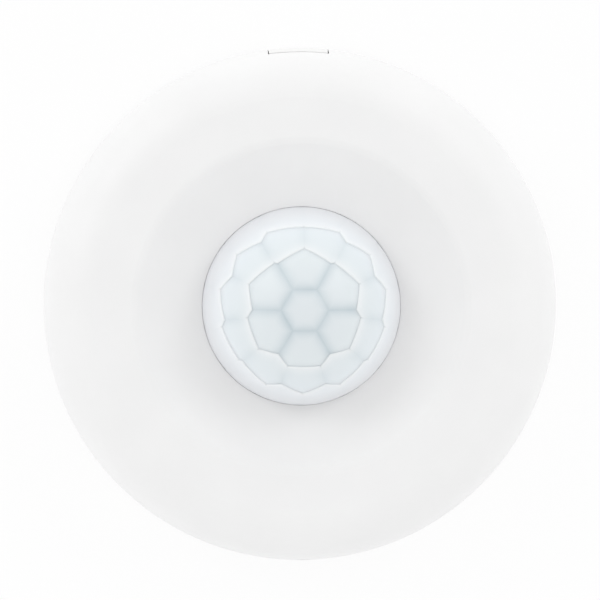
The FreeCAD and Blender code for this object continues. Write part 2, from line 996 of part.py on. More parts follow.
def lens_retainer():
    """The ring that clamps the lens flange to the cover, with three screw ears."""
    piece = Piece("lens_retainer")
    inner = dims.lens_radius - dims.retainer_inset
    outer = dims.lens_radius + dims.retainer_margin
    piece.turn(
        "XZ_Plane",
        outline(
            (inner, retainer_z),
            (outer, retainer_z),
            (outer, seat_z - dims.retainer_inset),
            (flange_radius + dims.lens_gap, seat_z - dims.retainer_inset),
            (flange_radius + dims.lens_gap, flange_z),
            (inner, flange_z),
        ),
    )
    for x, y in ring_screws:
        piece.pad(
            "XY_Plane", retainer_z, dims.retainer_thickness, circle(x, y, dims.ear_radius)
        )
    piece.pocket(
        "XY_Plane",
        retainer_z,
        dims.retainer_thickness,
        *[circle(x, y, dims.ring_screw_radius + dims.cradle_clearance) for x, y in ring_screws],
    )
    piece.pocket(
        "XY_Plane",
        flange_z,
        dims.cover_height,
        *[circle(x, y, dims.boss_radius + dims.cradle_clearance) for x, y in ring_screws],
    )
    return piece


def screw(name, x, y, seat, tip, shank_radius, head_radius, head_height, down):
    """A cylinder-head screw whose head sits on the seat, with its tip further up or down."""
    length = seat - tip if down else tip - seat
    shank_start = tip if down else seat
    head_start = seat if down else seat - head_height
    shank = rod(f"{name}_shank", "Z", (x, y, shank_start), shank_radius, length)
    head = rod(f"{name}_head", "Z", (x, y, head_start), head_radius, head_height)
    made = joined(f"{name}_blank", shank, head)
    recess_depth = head_height / 2
    slot_z = seat + head_height - recess_depth if down else seat - head_height
    long = head_radius * dims.recess_length_share
    short = head_radius * dims.recess_width_share
    levels = (slot_z, slot_z + recess_depth)
    across = box(f"{name}_cross_x", (x - long, x + long), (y - short, y + short), levels)
    along = box(f"{name}_cross_y", (x - short, x + short), (y - long, y + long), levels)
    return without(name, made, joined(f"{name}_cross", across, along))


def retainer_screws():
    """Three small screws, driven from behind through the ring into the cover's bosses."""
    screws = [
        screw(
            f"ring_screw_{number}",
            x,
            y,
            retainer_z,
            flange_z + dims.ring_screw_depth - dims.cradle_clearance,
            dims.ring_screw_radius,
            dims.ring_screw_head,
            dims.ring_screw_head_height,
            down=False,
        )
        for number, (x, y) in enumerate(ring_screws)
    ]
    node(group("ring_screws", screws), "retainer_screws")


# ---------------------------------------------------------------- circuit board


def main_board():
    """The round board, cut straight beside the battery."""
    piece = Piece("main_board")
    half = leg(board_radius, board_chord)
    piece.pad(
        "XY_Plane",
        board_bottom,
        dims.board_thickness,
        outline(
            (-half, -board_chord),
            (half, -board_chord, board_radius),
            (0, board_radius, board_radius),
        ),
        *[circle(x, y, dims.board_hole) for x, y in posts],
        *[circle(x, y, dims.sensor_pin_radius + dims.small_clearance) for x, y in sensor_legs],
    )
    return piece


def board_screws():
    """Four screws that hold the board to its posts."""
    screws = [
        screw(
            f"board_screw_{number}",
            x,
            y,
            board_top,
            board_top - dims.board_screw_length,
            dims.post_bore,
            dims.board_screw_head,
            dims.board_screw_head_height,
            down=True,
        )
        for number, (x, y) in enumerate(posts)
    ]
    node(group("board_screw_set", screws), "board_screws")


def infrared_sensor():
    """The metal can with its dark window, three pins and the collar round it."""
    low = board_top + dims.sensor_lift
    top = low + dims.sensor_can_height
    can = Piece("sensor_can")
    can.turn(
        "XZ_Plane",
        outline(
            (0, low),
            (dims.sensor_flange_radius, low),
            (dims.sensor_flange_radius, low + dims.sensor_flange_height),
            (dims.sensor_can_radius, low + dims.sensor_flange_height),
            (dims.sensor_can_radius, top),
            (0, top),
        ),
    )
    can.round_edges(dims.sensor_can_wall, is_ring(dims.sensor_can_radius, top))
    window_x = (-dims.window_half_x, dims.window_half_x)
    window_y = (-dims.window_half_y, dims.window_half_y)
    window_low = top - dims.window_thickness
    can.pocket("XY_Plane", window_low, dims.window_thickness, rectangle(window_x, window_y))
    glass_top = top - dims.small_clearance
    node(box("filter", window_x, window_y, (window_low, glass_top)), "sensor_window")
    start = board_bottom - dims.pin_tail
    pins = [
        rod(f"sensor_pin_{number}", "Z", (x, y, start), dims.sensor_pin_radius, low - start)
        for number, (x, y) in enumerate(sensor_legs)
    ]
    node(group("sensor_pin_set", pins), "sensor_pins")
    collar = Piece("sensor_collar")
    collar.turn(
        "XZ_Plane",
        outline(
            (dims.collar_inner, board_top),
            (dims.collar_foot, board_top),
            (dims.collar_foot, board_top + dims.collar_foot_height),
            (dims.collar_outer, board_top + dims.collar_foot_height),
            (dims.collar_outer, board_top + dims.collar_height),
            (dims.collar_inner, board_top + dims.collar_height),
        ),
    )


def status_light():
    """A small round-nosed indicator that shines through the lens."""
    piece = Piece("status_led")
    shoulder = board_top + dims.led_height - dims.led_radius
    piece.pad(
        "XY_Plane",
        board_top,
        dims.led_rim_height,
        circle(0, dims.led_y, dims.led_rim_radius),
    )
    piece.pad(
        "XY_Plane",
        board_top,
        shoulder - board_top + dims.led_radius,
        circle(0, dims.led_y, dims.led_radius),
    )
    top = board_top + dims.led_height

    def is_nose(edge):
        curve = edge.Curve
        return isinstance(curve, Part.Circle) and abs(curve.Center.z - top.value) < 0.01

    piece.round_edges(dims.led_radius * dims.led_nose_share, is_nose)


def chip(name, x, y, length, width, height):
    """A flat block soldered on the board, centred at (x, y)."""
    return box(
        name,
        (x - length / 2, x + length / 2),
        (y - width / 2, y + width / 2),
        (board_top, board_top + height),
    )


PASSIVE_ROWS = ((9.5, 3.5), (9.5, 7.5), (-4.0, -14.5), (-4.0, -18.0))
PASSIVES_PER_ROW = 3


def flat_components():
    """The processor, the radio's shield, the crystal and the small chip parts."""
    side = dims.mcu_size
    node(chip("mcu", dims.mcu_x, dims.mcu_y, side, side, dims.mcu_height), "microcontroller")
    node(
        chip(
            "radio",
            dims.radio_x,
            dims.radio_y,
            dims.radio_length,
            dims.radio_width,
            dims.radio_height,
        ),
        "radio_shield",
    )
    node(
        chip(
            "crystal",
            dims.crystal_x,
            dims.crystal_y,
            dims.crystal_length,
            dims.crystal_width,
            dims.crystal_height,
        ),
        "crystal",
    )
    blocks = []
    for row, (x, y) in enumerate(PASSIVE_ROWS):
        for column in range(PASSIVES_PER_ROW):
            blocks.append(
                chip(
                    f"passive_{row}_{column}",
                    x + dims.passive_pitch * column,
                    size(y),
                    dims.passive_length,
                    dims.passive_width,
                    dims.passive_height,
                )
            )
    node(group("passives", blocks), "chip_resistors")


def capacitors():
    """Two upright can capacitors beside the lens ring."""
    start = (tall_x, dims.capacitor_y, board_top)
    node(rod("can_1", "Z", start, dims.capacitor_radius, dims.capacitor_height), "storage_capacitor")
    start = (-tall_x, dims.small_capacitor_y, board_top)
    node(
        rod("can_2", "Z", start, dims.small_capacitor_radius, dims.capacitor_height),
        "filter_capacitor",
    )


def antenna():
    """The radio's wire coil, lying along the edge of the board."""
    centre_z = board_top + dims.antenna_radius + dims.antenna_wire + dims.small_clearance
    start = (dims.antenna_start, antenna_y, centre_z)
    wire = coil(
        "aerial_coil",
        "X",
        start,
        dims.antenna_radius,
        dims.antenna_wire,
        dims.antenna_pitch,
        dims.antenna_length,
    )
    node(wire, "coil_antenna")


# ---------------------------------------------------------------- switches


def tamper_start():
    """Y of the tamper lever's pivot."""
    return dims.tamper_y - dims.tamper_length / 2


def tamper_lever_top():
    """Z of the lever's upper face while the cover holds it down."""
    return board_top + dims.tamper_height + dims.lever_lift + dims.lever_thickness / 2


def tamper_switch():
    """The switch that notices when the cover is opened: its case, plunger and lever."""
    half = dims.tamper_width / 2
    case_top = board_top + dims.tamper_height
    start, end = tamper_start(), tamper_start() + dims.tamper_length
    pivot_z = case_top + dims.lever_lift
    case = Piece("tamper_switch_case")
    case.pad(
        "XY_Plane",
        board_top,
        dims.tamper_height,
        rectangle((tall_x - half, tall_x + half), (start - dims.lever_barrel * 2, end)),
    )
    bore = dims.plunger_radius + dims.small_clearance
    plunger_y = start + dims.plunger_offset
    case.pocket(
        "XY_Plane",
        case_top - dims.plunger_depth,
        dims.plunger_depth,
        circle(tall_x, plunger_y, bore),
    )
    ear = rectangle(
        (start - dims.lever_barrel * 2, start + dims.lever_barrel * 2),
        (case_top - dims.lever_barrel, pivot_z + dims.tamper_ear_rise),
    )
    for ear_start in (tall_x - half, tall_x + half - dims.tamper_ear):
        case.pad("YZ_Plane", ear_start, dims.tamper_ear, ear)
    hole = circle(start, pivot_z, dims.lever_trunnion + dims.small_clearance)
    case.pocket("YZ_Plane", tall_x - half, dims.tamper_width, hole)

    lever_half = half - dims.tamper_ear - dims.lever_side_gap
    lever = Piece("tamper_lever")
    lever.pad(
        "YZ_Plane",
        tall_x - lever_half,
        lever_half * 2,
        circle(start, pivot_z, dims.lever_barrel),
    )
    lever.pad(
        "YZ_Plane",
        tall_x - lever_half,
        lever_half * 2,
        rectangle(
            (start, start + dims.lever_reach),
            (pivot_z - dims.lever_thickness / 2, pivot_z + dims.lever_thickness / 2),
        ),
    )
    lever.pad(
        "YZ_Plane",
        tall_x - half,
        dims.tamper_width,
        circle(start, pivot_z, dims.lever_trunnion),
    )
    plunger_low = case_top - dims.plunger_depth + dims.small_clearance
    plunger_top = pivot_z - dims.lever_thickness / 2 - dims.small_clearance
    start_point = (tall_x, plunger_y, plunger_low)
    node(
        rod("plunger", "Z", start_point, dims.plunger_radius, plunger_top - plunger_low),
        "tamper_plunger",
    )


def learn_button():
    """The push button that pairs the sensor with its panel."""
    half = dims.button_size / 2
    top = board_top + dims.button_body_height
    case = Piece("button_case")
    case.pad(
        "XY_Plane",
        board_top,
        dims.button_body_height,
        rectangle(
            (-tall_x - half, -tall_x + half),
            (dims.button_y - half, dims.button_y + half),
        ),
    )
    low = top - dims.button_seat
    case.pocket(
        "XY_Plane",
        low - dims.button_room,
        dims.button_seat + dims.button_room,
        circle(-tall_x, dims.button_y, dims.button_radius + dims.small_clearance),
    )
    start = (-tall_x, dims.button_y, low)
    length = dims.button_seat + dims.button_rise
    node(rod("cap", "Z", start, dims.button_radius, length), "learn_button")


def setting_switches():
    """A block of three slide switches for range, pulse count and the light."""
    top = board_top + dims.setting_height
    half_length, half_width = dims.setting_length / 2, dims.setting_width / 2
    case = Piece("setting_switch_case")
    case.pad(
        "XY_Plane",
        board_top,
        dims.setting_height,
        rectangle(
            (dims.setting_x - half_length, dims.setting_x + half_length),
            (setting_y - half_width, setting_y + half_width),
        ),
    )
    slot_low = setting_y - dims.setting_slot_length / 2
    slot_floor = top - dims.setting_slot_depth
    for number, step in enumerate((-1, 0, 1), 1):
        x = dims.setting_x + dims.setting_pitch * step
        half = dims.setting_slot_width / 2
        case.pocket(
            "XY_Plane",
            slot_floor,
            dims.setting_slot_depth,
            rectangle((x - half, x + half), (slot_low, slot_low + dims.setting_slot_length)),
        )
        grip = half - dims.slider_clearance
        low = slot_low + dims.slider_clearance
        slider = box(
            f"slider_{number}",
            (x - grip, x + grip),
            (low, low + dims.slider_length),
            (slot_floor + dims.small_clearance, top + dims.slider_rise),
        )
        node(slider, f"setting_slider_{number}")


# ---------------------------------------------------------------- battery


def battery():
    """The round lithium cell, lying across the housing, and its raised positive end."""
    can_length = dims.cell_length - dims.cell_cap_height
    start = (-cell_half, cell_y, cell_z)
    node(rod("cell", "X", start, dims.cell_radius, can_length), "battery_cell")
    start = (cell_half - dims.cell_cap_height, cell_y, cell_z)
    node(rod("cell_end", "X", start, dims.cell_cap_radius, dims.cell_cap_height), "battery_positive_end")


def contact_plate(name, x):
    """An upright plate with an arm that stands on the board."""
    piece = Piece(name)
    low = dims.base_floor + dims.contact_lift
    arm_top = board_top + dims.contact_tab_height
    near, far = cell_y - dims.contact_half_width, cell_y + dims.contact_half_width
    arm_end = dims.contact_tab_reach - board_chord
    piece.pad(
        "YZ_Plane",
        x,
        dims.contact_thickness,
        outline(
            (near, low),
            (far, low),
            (far, board_top),
            (arm_end, board_top),
            (arm_end, arm_top),
            (near, arm_top),
        ),
    )
    return piece


def battery_contacts():
    """The two plates, and the coil spring on the negative one."""
    contact_plate("positive_contact", cell_half)
    contact_plate("negative_contact", plate_x - dims.contact_thickness)
    length = dims.spring_room - dims.spring_wire * 2
    start = (plate_x + dims.spring_wire, cell_y, cell_z)
    pitch = length / dims.spring_turns
    spring = coil("turns", "X", start, dims.spring_radius, dims.spring_wire, pitch, length)
    node(spring, "contact_spring")


def solder_joints():
    """Cones of solder where the contact arms meet the board."""
    arm_end = dims.contact_tab_reach - board_chord
    places = (
        cell_half + dims.contact_thickness + dims.solder_radius,
        plate_x - dims.contact_thickness - dims.solder_radius,
    )
    cones = []
    for number, x in enumerate(places):
        cone = doc.addObject("Part::Cone", f"solder_{number}")
        bind(cone, "Radius1", dims.solder_radius)
        bind(cone, "Radius2", dims.solder_top_radius)
        bind(cone, "Height", dims.solder_height)
        cones.append(move(cone, x, arm_end - dims.solder_radius, board_top))
    node(group("solder_set", cones), "solder_joints")


# ---------------------------------------------------------------- build and export


def build():
    front_cover()
    base_housing()
    hinge_pin()
    latch_finger()
    dome_lens()
    lens_retainer()
    retainer_screws()
    main_board()
    board_screws()
    infrared_sensor()
    status_light()
    flat_components()
    capacitors()
    antenna()
    tamper_switch()
    learn_button()
    setting_switches()
    battery()
    battery_contacts()
    solder_joints()
    doc.recompute()


def check():
    """Stops with a message if a feature failed, a cut removed nothing or a shape is not sound."""
    for thing in doc.Objects:
        if {"Invalid", "Error"} & set(thing.State):
            raise RuntimeError(f"{thing.Label} failed: {thing.State}")
        if thing.TypeId == "PartDesign::Pocket":
            if thing.Shape.Volume >= thing.BaseFeature.Shape.Volume - 1e-6:
                raise RuntimeError(f"{thing.Label} cut nothing")
    for thing in nodes:
        if thing.Shape.isNull() or not thing.Shape.isValid() or not thing.Shape.Solids:
            raise RuntimeError(f"{thing.Label} has no sound shape")


def export():
    os.makedirs("parts", exist_ok=True)
    for thing in nodes:
        thing.Shape.exportStep(f"parts/{thing.Label}.step")
        print(f"{thing.Label}: {len(thing.Shape.Solids)} solid(s), {thing.Shape.Volume:.1f} mm3")


build()
check()
export()
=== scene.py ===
"""Looks of a round ceiling motion sensor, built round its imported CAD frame.

The sensor lies on its mounting face, with its dome up. +Y points to the hinge of its cover.
"""

import math

import bmesh
import bpy
import numpy as np
from mathutils import Matrix, Vector


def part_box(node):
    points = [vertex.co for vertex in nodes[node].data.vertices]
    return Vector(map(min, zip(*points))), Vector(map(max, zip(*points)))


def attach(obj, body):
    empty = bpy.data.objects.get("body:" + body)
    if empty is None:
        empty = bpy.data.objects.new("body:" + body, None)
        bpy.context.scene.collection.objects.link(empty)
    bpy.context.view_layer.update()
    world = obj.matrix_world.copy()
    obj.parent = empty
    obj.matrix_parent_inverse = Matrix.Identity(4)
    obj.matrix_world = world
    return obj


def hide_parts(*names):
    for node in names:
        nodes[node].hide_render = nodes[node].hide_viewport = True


MM = 0.001

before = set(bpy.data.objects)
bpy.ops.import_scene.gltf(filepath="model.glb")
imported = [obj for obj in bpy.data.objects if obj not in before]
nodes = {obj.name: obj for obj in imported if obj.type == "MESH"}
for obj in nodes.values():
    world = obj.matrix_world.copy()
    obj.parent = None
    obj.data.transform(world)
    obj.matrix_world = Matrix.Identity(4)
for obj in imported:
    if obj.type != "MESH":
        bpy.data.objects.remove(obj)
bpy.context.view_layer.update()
scene = bpy.context.scene
scene.view_settings.view_transform = "Standard"


# ---------------------------------------------------------------- node material helpers


class Graph:
    """A material's node tree, with short calls for the nodes used here."""

    def __init__(self, name):
        self.material = bpy.data.materials.new(name)
        self.material.use_nodes = True
        self.tree = self.material.node_tree
        self.tree.nodes.clear()
        self.output = self.tree.nodes.new("ShaderNodeOutputMaterial")
        self.shader = self.tree.nodes.new("ShaderNodeBsdfPrincipled")
        self.join(self.shader.outputs[0], self.output.inputs["Surface"])
        coordinates = self.tree.nodes.new("ShaderNodeTexCoord")
        self.place = coordinates.outputs["Object"]

    def join(self, start, end):
        self.tree.links.new(start, end)

    def set(self, **values):
        """Sets the shader's own sockets. A name's underscores stand for spaces."""
        for name, value in values.items():
            self.shader.inputs[name.replace("_", " ")].default_value = value

    def noise(self, size_mm, detail=2.0, roughness=0.5, stretch=(1, 1, 1)):
        """Noise whose features are about this many millimetres across."""
        made = self.tree.nodes.new("ShaderNodeTexNoise")
        made.inputs["Scale"].default_value = 1 / (size_mm * MM)
        made.inputs["Detail"].default_value = detail
        made.inputs["Roughness"].default_value = roughness
        place = self.place
        if stretch != (1, 1, 1):
            mapping = self.tree.nodes.new("ShaderNodeMapping")
            mapping.inputs["Scale"].default_value = stretch
            self.join(self.place, mapping.inputs["Vector"])
            place = mapping.outputs[0]
        self.join(place, made.inputs["Vector"])
        return made.outputs["Fac"]

    def ramp(self, source, *stops):
        """Colours along a value. A stop is (position, colour)."""
        made = self.tree.nodes.new("ShaderNodeValToRGB")
        elements = made.color_ramp.elements
        while len(elements) < len(stops):
            elements.new(0.5)
        for element, (position, colour) in zip(elements, stops):
            element.position = position
            element.color = (*colour, 1)
        self.join(source, made.inputs[0])
        return made.outputs[0]

    def spread(self, source, low, high):
        """The value mapped from 0..1 to low..high."""
        made = self.tree.nodes.new("ShaderNodeMapRange")
        made.inputs["To Min"].default_value = low
        made.inputs["To Max"].default_value = high
        self.join(source, made.inputs["Value"])
        return made.outputs[0]

    def math(self, operation, first, second):
        """Two values, each a number or a socket, worked into one."""
        made = self.tree.nodes.new("ShaderNodeMath")
        made.operation = operation
        for socket, value in zip(made.inputs, (first, second)):
            if isinstance(value, (int, float)):
                socket.default_value = value
            else:
                self.join(value, socket)
        return made.outputs[0]

    def mix(self, share, first, second):
        """A colour between two others, each a colour or a socket."""
        made = self.tree.nodes.new("ShaderNodeMix")
        made.data_type = "RGBA"
        for socket, value in zip((made.inputs[0], made.inputs[6], made.inputs[7]), (share, first, second)):
            if isinstance(value, tuple):
                socket.default_value = (*value, 1)
            elif isinstance(value, (int, float)):
                socket.default_value = value
            else:
                self.join(value, socket)
        return made.outputs[2]

    def attribute(self, name):
        made = self.tree.nodes.new("ShaderNodeAttribute")
        made.attribute_name = name
        return made.outputs["Fac"]

    def colour(self, source):
        self.join(source, self.shader.inputs["Base Color"])

    def roughness(self, source, low, high):
        self.join(self.spread(source, low, high), self.shader.inputs["Roughness"])

    def bump(self, source, height_mm, strength=1.0):
        made = self.tree.nodes.new("ShaderNodeBump")
        made.inputs["Distance"].default_value = height_mm * MM
        made.inputs["Strength"].default_value = strength
        self.join(source, made.inputs["Height"])
        self.join(made.outputs[0], self.shader.inputs["Normal"])


def shade(colour, amount):
    """The colour, lighter or darker by this share."""
    return tuple(min(1.0, channel * amount) for channel in colour)


def moulded(name, colour, rough=(0.38, 0.5), grain_mm=0.16, grain_height=0.012, drift=0.012):
    """Injection-moulded plastic: a fine spark-eroded grain and a faint drift in tone."""
    graph = Graph(name)
    drift_noise = graph.noise(14, detail=3)
    stops = ((0.3, shade(colour, 1 - drift)), (0.7, shade(colour, 1 + drift)))
    graph.colour(graph.ramp(drift_noise, *stops))
    grain = graph.noise(grain_mm, detail=4, roughness=0.6)
    graph.roughness(grain, *rough)
    graph.bump(grain, grain_height)
    graph.set(Specular_IOR_Level=0.45, IOR=1.5)
    return graph.material


def metal(name, colour, rough=(0.18, 0.34), scratch_mm=0.35, stretch=(1, 12, 1), height=0.004):
    """Bright metal with fine drawn lines and small changes in gloss."""
    graph = Graph(name)
    lines = graph.noise(scratch_mm, detail=5, roughness=0.65, stretch=stretch)
    graph.colour(graph.ramp(lines, (0.25, shade(colour, 0.88)), (0.75, shade(colour, 1.06))))
    graph.roughness(lines, *rough)
    graph.bump(lines, height)
    graph.set(Metallic=1.0)
    return graph.material


# ---------------------------------------------------------------- camera, light and floor

CAMERA_DISTANCE = 900 * MM
FIELD_WIDTH = 129.0 * MM
LEAN_UP = 2.6
LEAN_LEFT = 2.0
ROLL = 0.65
AIM = Vector((0.0, 0.9 * MM, 14 * MM))
SENSOR_WIDTH = 36.0


def add_camera():
    """A long lens over the dome, leaning a little to the hinge side and to the left."""
    data = bpy.data.cameras.new("camera")
    camera = bpy.data.objects.new("camera", data)
    scene.collection.objects.link(camera)
    back = Vector((-math.tan(math.radians(LEAN_LEFT)), math.tan(math.radians(LEAN_UP)), 1)).normalized()
    camera.location = AIM + back * CAMERA_DISTANCE
    roll = math.radians(ROLL)
    right = Vector((math.cos(roll), -math.sin(roll), 0))
    right = (right - back * right.dot(back)).normalized()
    up = back.cross(right)
    camera.matrix_world = Matrix(
        [
            (right.x, up.x, back.x, camera.location.x),
            (right.y, up.y, back.y, camera.location.y),
            (right.z, up.z, back.z, camera.location.z),
            (0, 0, 0, 1),
        ]
    )
    data.sensor_width = SENSOR_WIDTH
    data.lens = SENSOR_WIDTH * CAMERA_DISTANCE / FIELD_WIDTH
    data.clip_start = 0.01
    data.clip_end = 10
    scene.camera = camera


SEEN = ("Is Camera Ray", "Is Glossy Ray", "Is Transmission Ray")
ZENITH_LEVEL = 0.64
HORIZON_LEVEL = 1.42
SIDE_LEVELS = {"X": (1.01, 0.99), "Y": (1.01, 0.99)}
FLOOR_GLOW = 0.9
FLOOR_RADIUS = 3
FLOOR_DROP = 0.1 * MM
LAMP_DISTANCE = 1500 * MM
LAMP_SIZE = 550 * MM
LAMP_HEIGHT = 42
LAMPS = {"soft_box_left": (142, 2.15), "soft_box_right": (40, 1.9)}


def add_lamps():
    """Two soft boxes above the hinge side. Each has an angle about Z from +X, and a power."""
    for name, (turn, power) in LAMPS.items():
        data = bpy.data.lights.new(name, "AREA")
        data.energy = power
        data.size = LAMP_SIZE
        lamp = bpy.data.objects.new(name, data)
        scene.collection.objects.link(lamp)
        around, up = math.radians(turn), math.radians(LAMP_HEIGHT)
        way = Vector((math.cos(around) * math.cos(up), math.sin(around) * math.cos(up), math.sin(up)))
        lamp.location = way * LAMP_DISTANCE
        lamp.rotation_euler = (-way).to_track_quat("-Z", "Y").to_euler()


def ramped(tree, source, low, high, start, end):
    """A value mapped from start..end to low..high."""
    made = tree.nodes.new("ShaderNodeMapRange")
    made.inputs["From Min"].default_value = start
    made.inputs["From Max"].default_value = end
    made.inputs["To Min"].default_value = low
    made.inputs["To Max"].default_value = high
    tree.links.new(source, made.inputs["Value"])
    return made.outputs[0]


def combined(tree, operation, first, second):
    """Two values worked into one."""
    made = tree.nodes.new("ShaderNodeMath")
    made.operation = operation
    tree.links.new(first, made.inputs[0])
    tree.links.new(second, made.inputs[1])
    return made.outputs[0]


def seen_share(tree):
    """1 for rays that see the background directly, in a gloss or through something clear, else 0."""
    path = tree.nodes.new("ShaderNodeLightPath")
    seen = path.outputs[SEEN[0]]
    for kind in SEEN[1:]:
        seen = combined(tree, "MAXIMUM", seen, path.outputs[kind])
    return seen


def add_world():
    """A soft white tent, brighter near the floor and a touch brighter at -X and -Y. It is seen as white."""
    world = bpy.data.worlds.new("studio")
    scene.world = world
    world.use_nodes = True
    tree = world.node_tree
    coordinates = tree.nodes.new("ShaderNodeTexCoord")
    split = tree.nodes.new("ShaderNodeSeparateXYZ")
    tree.links.new(coordinates.outputs["Generated"], split.inputs[0])
    level = ramped(tree, split.outputs["Z"], HORIZON_LEVEL, ZENITH_LEVEL, 0, 1)
    for axis, (low, high) in SIDE_LEVELS.items():
        level = combined(tree, "MULTIPLY", level, ramped(tree, split.outputs[axis], low, high, -1, 1))
    tent = tree.nodes["Background"]
    tent.inputs["Color"].default_value = (1, 1, 1, 1)
    tree.links.new(level, tent.inputs["Strength"])
    white = tree.nodes.new("ShaderNodeBackground")
    white.inputs["Color"].default_value = (1, 1, 1, 1)
    mix = tree.nodes.new("ShaderNodeMixShader")
    tree.links.new(seen_share(tree), mix.inputs[0])
    tree.links.new(tent.outputs[0], mix.inputs[1])
    tree.links.new(white.outputs[0], mix.inputs[2])
    tree.links.new(mix.outputs[0], tree.nodes["World Output"].inputs["Surface"])


def add_floor():
    """A floor under the mounting face. It is seen as nearly white and keeps a faint shadow."""
    place = (0, 0, -FLOOR_DROP)
    bpy.ops.mesh.primitive_circle_add(vertices=96, radius=FLOOR_RADIUS, fill_type="NGON", location=place)
    floor = bpy.context.object
    floor.name = "floor"
    graph = Graph("floor_white")
    speckle = graph.noise(40, detail=2)
    graph.colour(graph.ramp(speckle, (0.3, (0.93, 0.93, 0.93)), (0.7, (0.95, 0.95, 0.95))))
    graph.set(Roughness=0.9, Specular_IOR_Level=0.0)
    glow = graph.tree.nodes.new("ShaderNodeEmission")
    mix = graph.tree.nodes.new("ShaderNodeMixShader")
    graph.join(ramped(graph.tree, seen_share(graph.tree), 0, FLOOR_GLOW, 0, 1), mix.inputs[0])
    graph.join(graph.shader.outputs[0], mix.inputs[1])
    graph.join(glow.outputs[0], mix.inputs[2])
    graph.join(mix.outputs[0], graph.output.inputs["Surface"])
    floor.data.materials.append(graph.material)


# ---------------------------------------------------------------- faceted dome

lens_low, lens_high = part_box("dome_lens")
FLANGE_RADIUS = lens_high.x
LENS_WALL = 0.9 * MM
FLANGE_THICKNESS = 1.2 * MM
FLANGE_WIDTH = 3.1 * MM
DOME_RADIUS = FLANGE_RADIUS - FLANGE_WIDTH
DOME_CENTRE = lens_high.z - DOME_RADIUS

FACET_TURN = -0.65
FACET_RINGS = ((1, 0.0, 0.0), (6, 23.8, 30.0), (11, 45.7, 90 + 180 / 11), (14, 65.0, 90 + 180 / 14))
EDGE_STEP = 0.5 * MM
SPOKES = (0.0, 0.18, 0.36, 0.52, 0.66, 0.77, 0.85, 0.91, 0.95, 0.975, 1.0)
VALLEY_DEPTHS = (0.20 * MM, 0.20 * MM, 0.09 * MM, 0.03 * MM)
# Share of painted shade in the valleys, ring by ring.
VALLEY_SHADE_SHARES = (1.0, 1.0, 0.38, 0.08)
VALLEY_WIDTH = 2.6 * MM
STEP_DEPTH = 0.30 * MM
STEP_INNER_WIDTH = 1.7 * MM
STEP_OUTER_WIDTH = 0.22 * MM
# Width of the painted highlight just outside each step.
STEP_HIGHLIGHT_WIDTH = 3.0 * MM
SCAN_STEPS = 1440
RIM_ROUNDING = 0.1 * MM
COLLAR_HEIGHT = 0.4 * MM
INSIDE_LEVELS = 14


def facet_seeds():
    """The middle of each facet as a unit vector, and its ring. The last ring is mirrored below the rim."""
    seeds, rings = [], []
    for ring, (count, polar, first) in enumerate(FACET_RINGS):
        for number in range(count):
            turn = math.radians(FACET_TURN + first + 360 * number / count)
            lean = math.radians(polar)
            seeds.append((math.sin(lean) * math.cos(turn), math.sin(lean) * math.sin(turn), math.cos(lean)))
            rings.append(ring)
    last = [seed for seed, ring in zip(seeds, rings) if ring == len(FACET_RINGS) - 1]
    mirrored = [(x, y, -z) for x, y, z in last]
    return np.array(seeds + mirrored), rings + [len(FACET_RINGS)] * len(mirrored)


def facet_neighbours(index, seeds):
    """The facets round this one, in order, with those that only touch it at a point left out."""
    middle = seeds[index]
    side = np.cross(middle, (0.0, 1.0, 0.1))
    side /= np.linalg.norm(side)
    other = np.cross(middle, side)
    order = []
    for turn in np.linspace(0, 2 * math.pi, SCAN_STEPS, endpoint=False):
        way = side * math.cos(turn) + other * math.sin(turn)
        reach = seeds @ way
        near = 1 - seeds @ middle
        with np.errstate(divide="ignore", invalid="ignore"):
            distance = np.where(reach > 1e-9, np.arctan2(near, reach), math.pi)
        distance[index] = math.pi
        nearest = int(np.argmin(distance))
        if not order or order[-1] != nearest:
            order.append(nearest)
    if len(order) > 1 and order[0] == order[-1]:
        order.pop()
    return order


def corner_between(a, b, c):
    """The point on the unit sphere as far from all three seeds."""
    found = np.cross(a - b, a - c)
    found /= np.linalg.norm(found)
    return found if found @ a > 0 else -found


def between(a, b, share):
    """A point on the great circle from a to b."""
    angle = math.acos(min(1.0, float(a @ b)))
    if angle < 1e-9:
        return a
    return (a * math.sin((1 - share) * angle) + b * math.sin(share * angle)) / math.sin(angle)


def facet_relief(point, index, neighbours, seeds, rings):
    """How deep the surface lies under the sphere here, and how strong the painted marks are: painted shade
    near the valleys between facets, painted shade just inside each step, and a painted highlight just
    outside it.
    """
    depth = valley_painted_shade = inner = outer = 0.0
    for other in neighbours:
        if rings[other] == len(FACET_RINGS):
            continue
        normal = seeds[index] - seeds[other]
        normal /= np.linalg.norm(normal)
        distance = max(0.0, math.asin(min(1.0, float(point @ normal)))) * DOME_RADIUS
        stepped = min(rings[index], rings[other]) > 0 and rings[index] != rings[other]
        if not stepped:
            ring = max(rings[index], rings[other])
            width, limit = VALLEY_WIDTH, VALLEY_DEPTHS[ring]
            valley_painted_shade = max(valley_painted_shade, VALLEY_SHADE_SHARES[ring] * max(0.0, 1 - distance / width) ** 2)
        # Across a step, inner is painted shade on the inner ring's side and outer is a painted highlight on
        # the outer ring's side.
        elif rings[other] > rings[index]:
            width, limit = STEP_INNER_WIDTH, STEP_DEPTH
            inner = max(inner, max(0.0, 1 - distance / width) ** 2)
        else:
            width, limit = STEP_OUTER_WIDTH, STEP_DEPTH
            outer = max(outer, max(0.0, 1 - distance / STEP_HIGHLIGHT_WIDTH) ** 2)
        depth = max(depth, limit * max(0.0, 1 - distance / width) ** 2)
    return depth, valley_painted_shade, inner, outer


class Shell:
    """Points, faces and per-point values of a mesh in the making. Points at one place are shared."""

    def __init__(self):
        self.index, self.points, self.values, self.faces = {}, [], [], []

    def add(self, key, point, values):
        key = tuple(np.round(key, 6))
        if key not in self.index:
            self.index[key] = len(self.points)
            self.points.append(tuple(point))
            self.values.append(values)
        return self.index[key]

    def face(self, *corners):
        distinct = [c for n, c in enumerate(corners) if c != corners[n - 1]]
        if len(distinct) > 2:
            self.faces.append(distinct)


